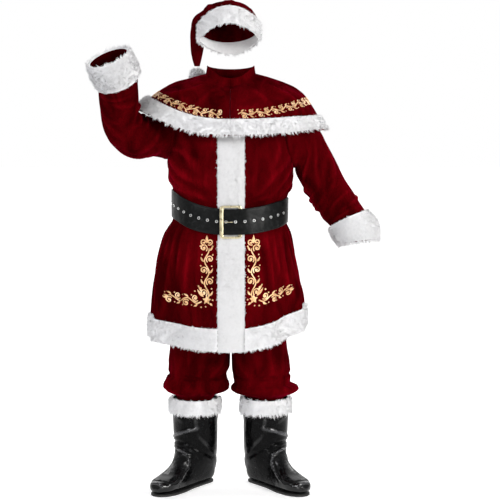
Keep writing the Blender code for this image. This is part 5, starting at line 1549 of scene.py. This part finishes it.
def make_trousers(node, table, side):
    """One leg, with its folds and the gathers over the boot."""
    z = spans((0.300, 0.338, 4), (0.338, 0.50, 46), (0.50, 0.64, 20), (0.64, WAIST_Z, 20))
    turn = np.degrees(SEAM / 2 / read(table, np.minimum(z, LEG_TOP)).front)
    angles = (180 - turn)[:, None] * np.linspace(-1, 1, 77)

    def form(angle, height):
        return trouser_point(angle, height, table, side)

    rng = np.random.default_rng(61 + side)
    gathers = []
    for k in range(GATHERS):
        at = -180 + 360 * (k + rng.uniform(0.2, 0.8)) / GATHERS
        tall, low = rng.uniform(*GATHER_TALL), rng.uniform(*GATHER_LOW)
        gathers.append((at, low, at + rng.uniform(-5, 5), low + tall, rng.uniform(*GATHER_HALF),
                        rng.uniform(*GATHER_DEEP), rng.uniform(-0.003, 0.003)))
    amount = creased(angles, z[:, None], (*TROUSER_CREASES, *gathers), TROUSER_SCALE)
    amount = amount * (ease(z, *TROUSER_BOUND) * (1 - ease(z, *TROUSER_PLAIN)))[:, None]
    inseam = bump(np.abs(angles), 180, INSEAM_TURN)
    amount = amount * (1 - inseam) - INSEAM_DEEP * inseam
    outer, inner = (lifted(form, angles, z[:, None], amount - depth, LEG_STEP, side) for depth in (0, VELVET))
    # the folds go on at 0.6 of their height, for a weaker painted highlight and shade
    velvet_piece(node, outer, inner, amount * 0.6)


def boot_form(turn, at):
    """The boot with its heel at the origin and toe at -y: turn is 0 on the front and top."""
    row = read(BOOT, at)
    cosine, sine = np.cos(np.radians(turn)), np.sin(np.radians(turn))
    power = 2 / row.square
    up = np.sign(cosine) * np.abs(cosine) ** power
    out = np.sign(sine) * np.abs(sine) ** power
    y = (row.top_y + row.low_y + (row.top_y - row.low_y) * up) / 2
    z = (row.top_z + row.low_z + (row.top_z - row.low_z) * up) / 2
    return np.stack([row.half * out, y, z], axis=-1)


def boot_folds(turn, at):
    """The boot's folds and its raised foot panel, flat under the fur, at the toe and by the sole."""
    turn = turn_between(turn, 0)
    edge = np.interp(turn, *np.array(VAMP_SEAM, float).T)
    panel = ease(at - edge, 0.0, 0.3) * (1 - ease(at, *PANEL_FRONT)) * (1 - ease(np.abs(turn), *PANEL_SIDES))
    folds = creased(turn, at, BOOT_CREASES, BOOT_SCALE) + PANEL_RISE * panel
    sole = ease(np.abs(turn), *SOLE_SIDES) * ease(at, *SOLE_START)
    return folds * ease(at, *BOOT_FOLDS_START) * (1 - ease(at, *BOOT_FOLDS_END)) * (1 - sole)


def on_boot(turn, at, lift, mirror):
    """A point of the dressed boot, or one lifted off it."""
    turn, at = np.broadcast_arrays(np.asarray(turn, float), np.asarray(at, float))
    return lifted(boot_form, turn, at, boot_folds(turn * mirror, at) + lift, BOOT_STEP, -1)


def make_boot(side_name, heel, toe_out, mirror):
    """A boot with its piping, plush top and sole; mirror is -1 for the one whose folds are mirrored."""
    at = spans((0, 8, 62), (8, 11, 18), (11, 14, 26))[:, None]
    turn = (np.arange(68) * 360 / 68)[None]
    outer = place_foot(on_boot(turn, at, 0.0, mirror), heel, toe_out)
    thick = LEATHER * (1 - 0.5 * ease(at, 12, 14))
    inner = place_foot(on_boot(turn, at, -thick, mirror), heel, toe_out)
    mesh = wall_mesh(f"boot_{side_name}_leather", outer, inner, around=True, capped=True)
    # the fold heights written here paint the leather paler on the ridges, a painted highlight, and make them
    # glossier
    mark_folds(mesh, boot_folds(turn * mirror, at))
    boot = add_piece(f"boot_{side_name}_leather", mesh, boot_grain())
    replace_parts(boot, "boot_" + side_name)
    make_piping(f"boot_{side_name}_piping", heel, toe_out, mirror)

    def on_shaft(turn, at, lift):
        return place_foot(lifted(boot_form, turn, at, lift, BOOT_STEP, -1), heel, toe_out)

    top, turn = np.linspace(0.05, 1.0, 9)[:, None], np.linspace(0, 360, 81)[None]
    plush_trim("boot_fur_" + side_name, *laid_on(on_shaft, turn, top, BOOT_CLEAR), BOOT_PILE,
               flat=(0.58, 0.055), seed=71 if mirror > 0 else 72, tuft=0.0125, fringe=0.4, splay=(1.0, 0.5),
               around=True)
    make_sole(f"sole_{side_name}", "boot_sole_" + side_name, heel, toe_out)


def make_piping(name, heel, toe_out, mirror):
    """A thin rolled edge along the seam of the foot panel."""
    knots = np.array(VAMP_SEAM, float)
    s = np.linspace(0, len(knots) - 1, 90)
    turn, at = (curve_through(np.arange(len(knots)), column, s) for column in knots.T)
    middle = on_boot(turn, at, 0.0, mirror)
    normal = unit(on_boot(turn, at, 0.005, mirror) - middle)
    beside = unit(np.cross(np.gradient(middle, axis=0), normal))
    rings = np.stack([middle + beside * x + normal * y for x, y in PIPING], axis=1)
    mesh = solid_mesh(name, place_foot(rings, heel, toe_out))
    add_piece(name, mesh, boot_grain(), sharp=75)


def make_sole(name, node, heel, toe_out):
    """The flat outsole, with a rounded edge."""
    knots = np.array(SOLE_ROWS)
    s = np.linspace(0, 1, 40)
    y = knots[0, 0] + (knots[-1, 0] - knots[0, 0]) * (1 - np.cos(np.pi * s)) / 2
    half = curve_through(-knots[:, 0], knots[:, 1], -y)
    outline = np.concatenate([np.stack([half, y], -1), np.stack([-half, y], -1)[::-1]])
    rings = []
    for inset, z in SOLE_EDGE[::-1]:
        flat = outline - unit(outline - SOLE_MIDDLE) * inset
        rings.append(np.concatenate([flat, np.full((len(flat), 1), z)], axis=1))
    mesh = solid_mesh(name, place_foot(np.stack(rings), heel, toe_out))
    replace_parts(add_piece(name, mesh, moulded_rubber(), sharp=35), node)


def make_hat():
    """The crown with its tail, the plush band and the pompom."""
    at = spans((0, 8, 60), (8, 12, 20))
    grid = ring_grid(CROWN, at, CROWN_SIDES, -1)
    normal = grid_normals(grid)
    turn = np.arange(CROWN_SIDES) * 360 / CROWN_SIDES
    amount = creased(turn[None], at[:, None], CROWN_CREASES, CROWN_SCALE)
    amount = amount * (ease(at, 0.5, 1.2) * (1 - ease(at, 8, 9.5)))[:, None]
    outer = grid + normal * amount[..., None]
    thin = VELVET * (1 - 0.3 * ease(at, 10, 12))[:, None, None]
    velvet_piece("hat_crown", outer, outer - normal * thin, amount,
                 around=True, capped=True)

    angle = np.linspace(0, 360, 127)
    x, y = oval(angle, HAT_BAND_HALF, HAT_BAND_HALF, HAT_BAND_FRONT, HAT_BAND_BACK, 2.1)
    rim = np.stack([x + HAT_CENTRE[0], y + HAT_CENTRE[1], by_side(angle, **HAT_BAND_LOW)], axis=-1)
    out = unit(np.stack([x, y, 0 * x], axis=-1))
    rise = np.linspace(0.06, 0.97, 10)[:, None, None]
    under = rim + rise * HAT_BAND_TALL * np.array([0, 0, 1]) - out * HAT_PILE
    plush_trim("hat_band", under, np.broadcast_to(out, under.shape), HAT_PILE, flat=(0.78, 0.068),
               seed=81, tuft=0.0115, fringe=0.3, splay=(0.3, 0.4), around=True, free_row=0)
    make_pompom()


def make_pompom():
    turn, rise = np.radians(np.linspace(0, 360, 41)), np.radians(np.linspace(-82, 82, 22))[:, None]
    spoke = np.stack(np.broadcast_arrays(
        np.cos(rise) * np.cos(turn), np.cos(rise) * np.sin(turn), np.sin(rise),
    ), axis=-1)
    lumps = 0.0012 * np.sin(turn * 5) * np.cos(rise * 7)
    base = np.array(POMPOM_AT) + spoke * (POMPOM_RADIUS * POMPOM_CORE + lumps)[..., None]
    core = add_piece("hat_pompom_core", solid_mesh("hat_pompom_core", base[:, :-1]), white_plush())
    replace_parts(core, "hat_pompom")
    comb = downward(base) * 0.25
    pile = pile_mesh("hat_pompom_pile", base, spoke, comb, length=0.0135, spacing=0.0050, blades=24,
                     seed=91, rise=0.85)
    add_piece("hat_pompom_pile", pile, white_plush(), sharp=0)


# ---------------------------------------------------------------- stage


def add_light(light):
    """A round lamp that faces the point it is aimed at."""
    lamp = bpy.data.lights.new(light.name, "AREA")
    lamp.shape = "DISK"
    lamp.size = light.size
    lamp.energy = light.power
    lamp.color = light.colour
    lamp.spread = np.radians(light.spread)
    made = bpy.data.objects.new(light.name, lamp)
    made.location = light.at
    x, y, z = np.subtract(light.aim, light.at)
    made.rotation_euler = (np.arctan2(np.hypot(x, y), -z), 0, np.arctan2(-x, y))
    bpy.context.scene.collection.objects.link(made)


def make_room():
    """Even light all round, brightest from the white backdrop behind the suit."""
    world = bpy.data.worlds.new("studio")
    world.use_nodes = True
    nodes, links = world.node_tree.nodes, world.node_tree.links
    place = nodes.new("ShaderNodeTexCoord")
    split = nodes.new("ShaderNodeSeparateXYZ")
    fade = nodes.new("ShaderNodeValToRGB")
    links.new(place.outputs["Generated"], split.inputs[0])
    links.new(split.outputs["Y"], fade.inputs["Fac"])
    links.new(fade.outputs[0], nodes["Background"].inputs["Color"])
    line = fade.color_ramp
    for element, (at, bright) in zip(line.elements, ((0.0, ROOM), (0.6, 1.0))):
        element.position = at
        element.color = (bright, bright, bright, 1)
    nodes["Background"].inputs["Strength"].default_value = suit().room_light
    bpy.context.scene.world = world


@once
def pale_floor(s):
    """A pale floor that shines by itself behind the suit, so that it runs into the backdrop."""
    far = s.add("ShaderNodeSeparateXYZ", {0: s.place}).outputs["Y"]
    return s.finish(
        Base_Color=s.ramp(s.noise(3.0, 3.0), [(0.3, (0.87, 0.87, 0.87)), (0.7, (0.90, 0.90, 0.90))]),
        Roughness=0.9,
        Specular_IOR_Level=0.1,
        Emission_Color=(1.0, 1.0, 1.0, 1),
        Emission_Strength=s.ranged(far, -0.8, 1.2, FLOOR_NEAR, FLOOR_FAR),
    )


def make_floor():
    turn = np.linspace(0, 2 * np.pi, 96, endpoint=False)
    reach = np.array(FLOOR_RINGS)[:, None]
    rings = np.stack([reach * np.cos(turn), reach * np.sin(turn), reach * 0 * turn], axis=-1)
    number = numbered(rings)
    mesh = new_mesh("floor", rings.reshape(-1, 3), [number[:1, :-1], grid_faces(number)[:, ::-1]])
    mesh.materials.append(pale_floor())
    floor = bpy.data.objects.new("floor", mesh)
    bpy.context.scene.collection.objects.link(floor)


def make_stage():
    scene = bpy.context.scene
    make_floor()
    make_room()
    for light in LIGHTS:
        add_light(light)
    lens = bpy.data.cameras.new("camera")
    lens.sensor_width = SENSOR
    lens.lens = LENS_SHARE * SENSOR
    camera = bpy.data.objects.new("camera", lens)
    camera.location = CAMERA_AT
    camera.rotation_euler = (np.radians(90 - CAMERA_DOWN), 0, 0)
    scene.collection.objects.link(camera)
    scene.camera = camera
    scene.view_settings.view_transform = "Standard"


# ---------------------------------------------------------------- add-on


class SantaSuitSettings(bpy.types.PropertyGroup):
    """Colours and sizes of the suit."""

    velvet_colour: FloatVectorProperty(
        name="Velvet", description="Colour of the velvet's body", subtype="COLOR",
        size=3, min=0, max=1, default=(0.070, 0.0005, 0.0018))
    velvet_sheen: FloatVectorProperty(
        name="Velvet sheen", description="Colour of the light that the nap catches", subtype="COLOR",
        size=3, min=0, max=1, default=(0.55, 0.004, 0.05))
    plush_colour: FloatVectorProperty(
        name="Plush", description="Colour of the white trims", subtype="COLOR",
        size=3, min=0, max=1, default=(0.93, 0.93, 0.94))
    belt_colour: FloatVectorProperty(
        name="Belt", description="Colour of the belt's faux leather", subtype="COLOR",
        size=3, min=0, max=1, default=(0.005, 0.0055, 0.0055))
    boot_colour: FloatVectorProperty(
        name="Boots", description="Colour of the boots' faux leather", subtype="COLOR",
        size=3, min=0, max=1, default=(0.002, 0.002, 0.0022))
    buckle_colour: FloatVectorProperty(
        name="Buckle", description="Colour of the buckle's metal", subtype="COLOR",
        size=3, min=0, max=1, default=(0.86, 0.76, 0.50))
    print_colour: FloatVectorProperty(
        name="Print", description="Colour of the gold print", subtype="COLOR",
        size=3, min=0, max=1, default=(0.76, 0.44, 0.20))
    pile_length: FloatProperty(
        name="Pile length", description="Length of the plush, as a share of its own", subtype="FACTOR",
        min=0.3, max=1.6, default=1.0)
    fold_depth: FloatProperty(
        name="Fold depth", description="How deep the small folds are, as a share of their own",
        subtype="FACTOR", min=0, max=1.5, default=1.0)
    eyelet_radius: FloatProperty(
        name="Eyelet radius", description="Outer radius of the belt's eyelets", subtype="DISTANCE",
        unit="LENGTH", min=0.003, max=0.010, default=0.0056)
    print_stroke: FloatProperty(
        name="Print stroke", description="Width of the printed vine's lines", subtype="DISTANCE",
        unit="LENGTH", min=0.001, max=0.008, default=0.0050)
    room_light: FloatProperty(
        name="Room light", description="Strength of the even light all round", min=0, max=3, default=1.0)


class SANTA_OT_coat(bpy.types.Operator):
    """Sew the coat's fronts and back"""

    bl_idname = "santa_suit.coat"
    bl_label = "Coat"

    def execute(self, context):
        make_coat()
        return {"FINISHED"}


class SANTA_OT_sleeves(bpy.types.Operator):
    """Set in the sleeves and their plush cuffs"""

    bl_idname = "santa_suit.sleeves"
    bl_label = "Sleeves and Cuffs"

    def execute(self, context):
        make_sleeve("sleeve_left", SLEEVE_LEFT, -1, ELBOW_LEFT, LEFT_SLEEVE_CREASES)
        make_sleeve("sleeve_right", SLEEVE_RIGHT, 1, ELBOW_RIGHT, RIGHT_SLEEVE_CREASES)
        return {"FINISHED"}


class SANTA_OT_cape(bpy.types.Operator):
    """Lay the cape with its hem and neckband"""

    bl_idname = "santa_suit.cape"
    bl_label = "Cape"

    def execute(self, context):
        make_cape()
        return {"FINISHED"}


class SANTA_OT_plush(bpy.types.Operator):
    """Sew on the placket and the coat's hem band"""

    bl_idname = "santa_suit.plush"
    bl_label = "Placket and Hem"

    def execute(self, context):
        make_plush()
        return {"FINISHED"}


class SANTA_OT_belt(bpy.types.Operator):
    """Buckle on the belt with its eyelets"""

    bl_idname = "santa_suit.belt"
    bl_label = "Belt and Buckle"

    def execute(self, context):
        make_belt()
        make_buckle()
        return {"FINISHED"}


class SANTA_OT_scrolls(bpy.types.Operator):
    """Print the gold vines"""

    bl_idname = "santa_suit.scrolls"
    bl_label = "Gold Print"

    def execute(self, context):
        make_scrolls()
        return {"FINISHED"}


class SANTA_OT_trousers(bpy.types.Operator):
    """Hang the two trouser legs"""

    bl_idname = "santa_suit.trousers"
    bl_label = "Trousers"

    def execute(self, context):
        make_trousers("trouser_left", LEG_LEFT, -1)
        make_trousers("trouser_right", LEG_RIGHT, 1)
        return {"FINISHED"}


class SANTA_OT_boots(bpy.types.Operator):
    """Stand the boots with their soles and plush tops"""

    bl_idname = "santa_suit.boots"
    bl_label = "Boots"

    def execute(self, context):
        make_boot("left", HEEL_LEFT, -TOE_OUT_LEFT, 1)
        make_boot("right", HEEL_RIGHT, TOE_OUT_RIGHT, -1)
        return {"FINISHED"}


class SANTA_OT_hat(bpy.types.Operator):
    """Shape the hat with its band and pompom"""

    bl_idname = "santa_suit.hat"
    bl_label = "Hat"

    def execute(self, context):
        make_hat()
        return {"FINISHED"}


class SANTA_OT_stage(bpy.types.Operator):
    """Set the floor, the lights and the camera"""

    bl_idname = "santa_suit.stage"
    bl_label = "Stage"

    def execute(self, context):
        make_stage()
        return {"FINISHED"}


STEPS = (
    SANTA_OT_coat, SANTA_OT_sleeves, SANTA_OT_cape, SANTA_OT_plush, SANTA_OT_belt, SANTA_OT_scrolls,
    SANTA_OT_trousers, SANTA_OT_boots, SANTA_OT_hat, SANTA_OT_stage,
)


class SANTA_PT_suit(bpy.types.Panel):
    """The suit's settings and the steps that make it"""

    bl_idname = "SANTA_PT_suit"
    bl_label = "Santa Suit"
    bl_space_type = "VIEW_3D"
    bl_region_type = "UI"
    bl_category = "Santa Suit"

    def draw(self, context):
        for name in SantaSuitSettings.__annotations__:
            self.layout.prop(context.scene.santa_suit, name)
        for step in STEPS:
            self.layout.operator(step.bl_idname)


CLASSES = (SantaSuitSettings, *STEPS, SANTA_PT_suit)


def register():
    for each in CLASSES:
        bpy.utils.register_class(each)
    bpy.types.Scene.santa_suit = PointerProperty(type=SantaSuitSettings)


def unregister():
    del bpy.types.Scene.santa_suit
    for each in reversed(CLASSES):
        bpy.utils.unregister_class(each)


def main():
    register()
    for step in STEPS:
        getattr(bpy.ops.santa_suit, step.bl_idname.split(".")[1])()


if __name__ == "__main__":
    main()
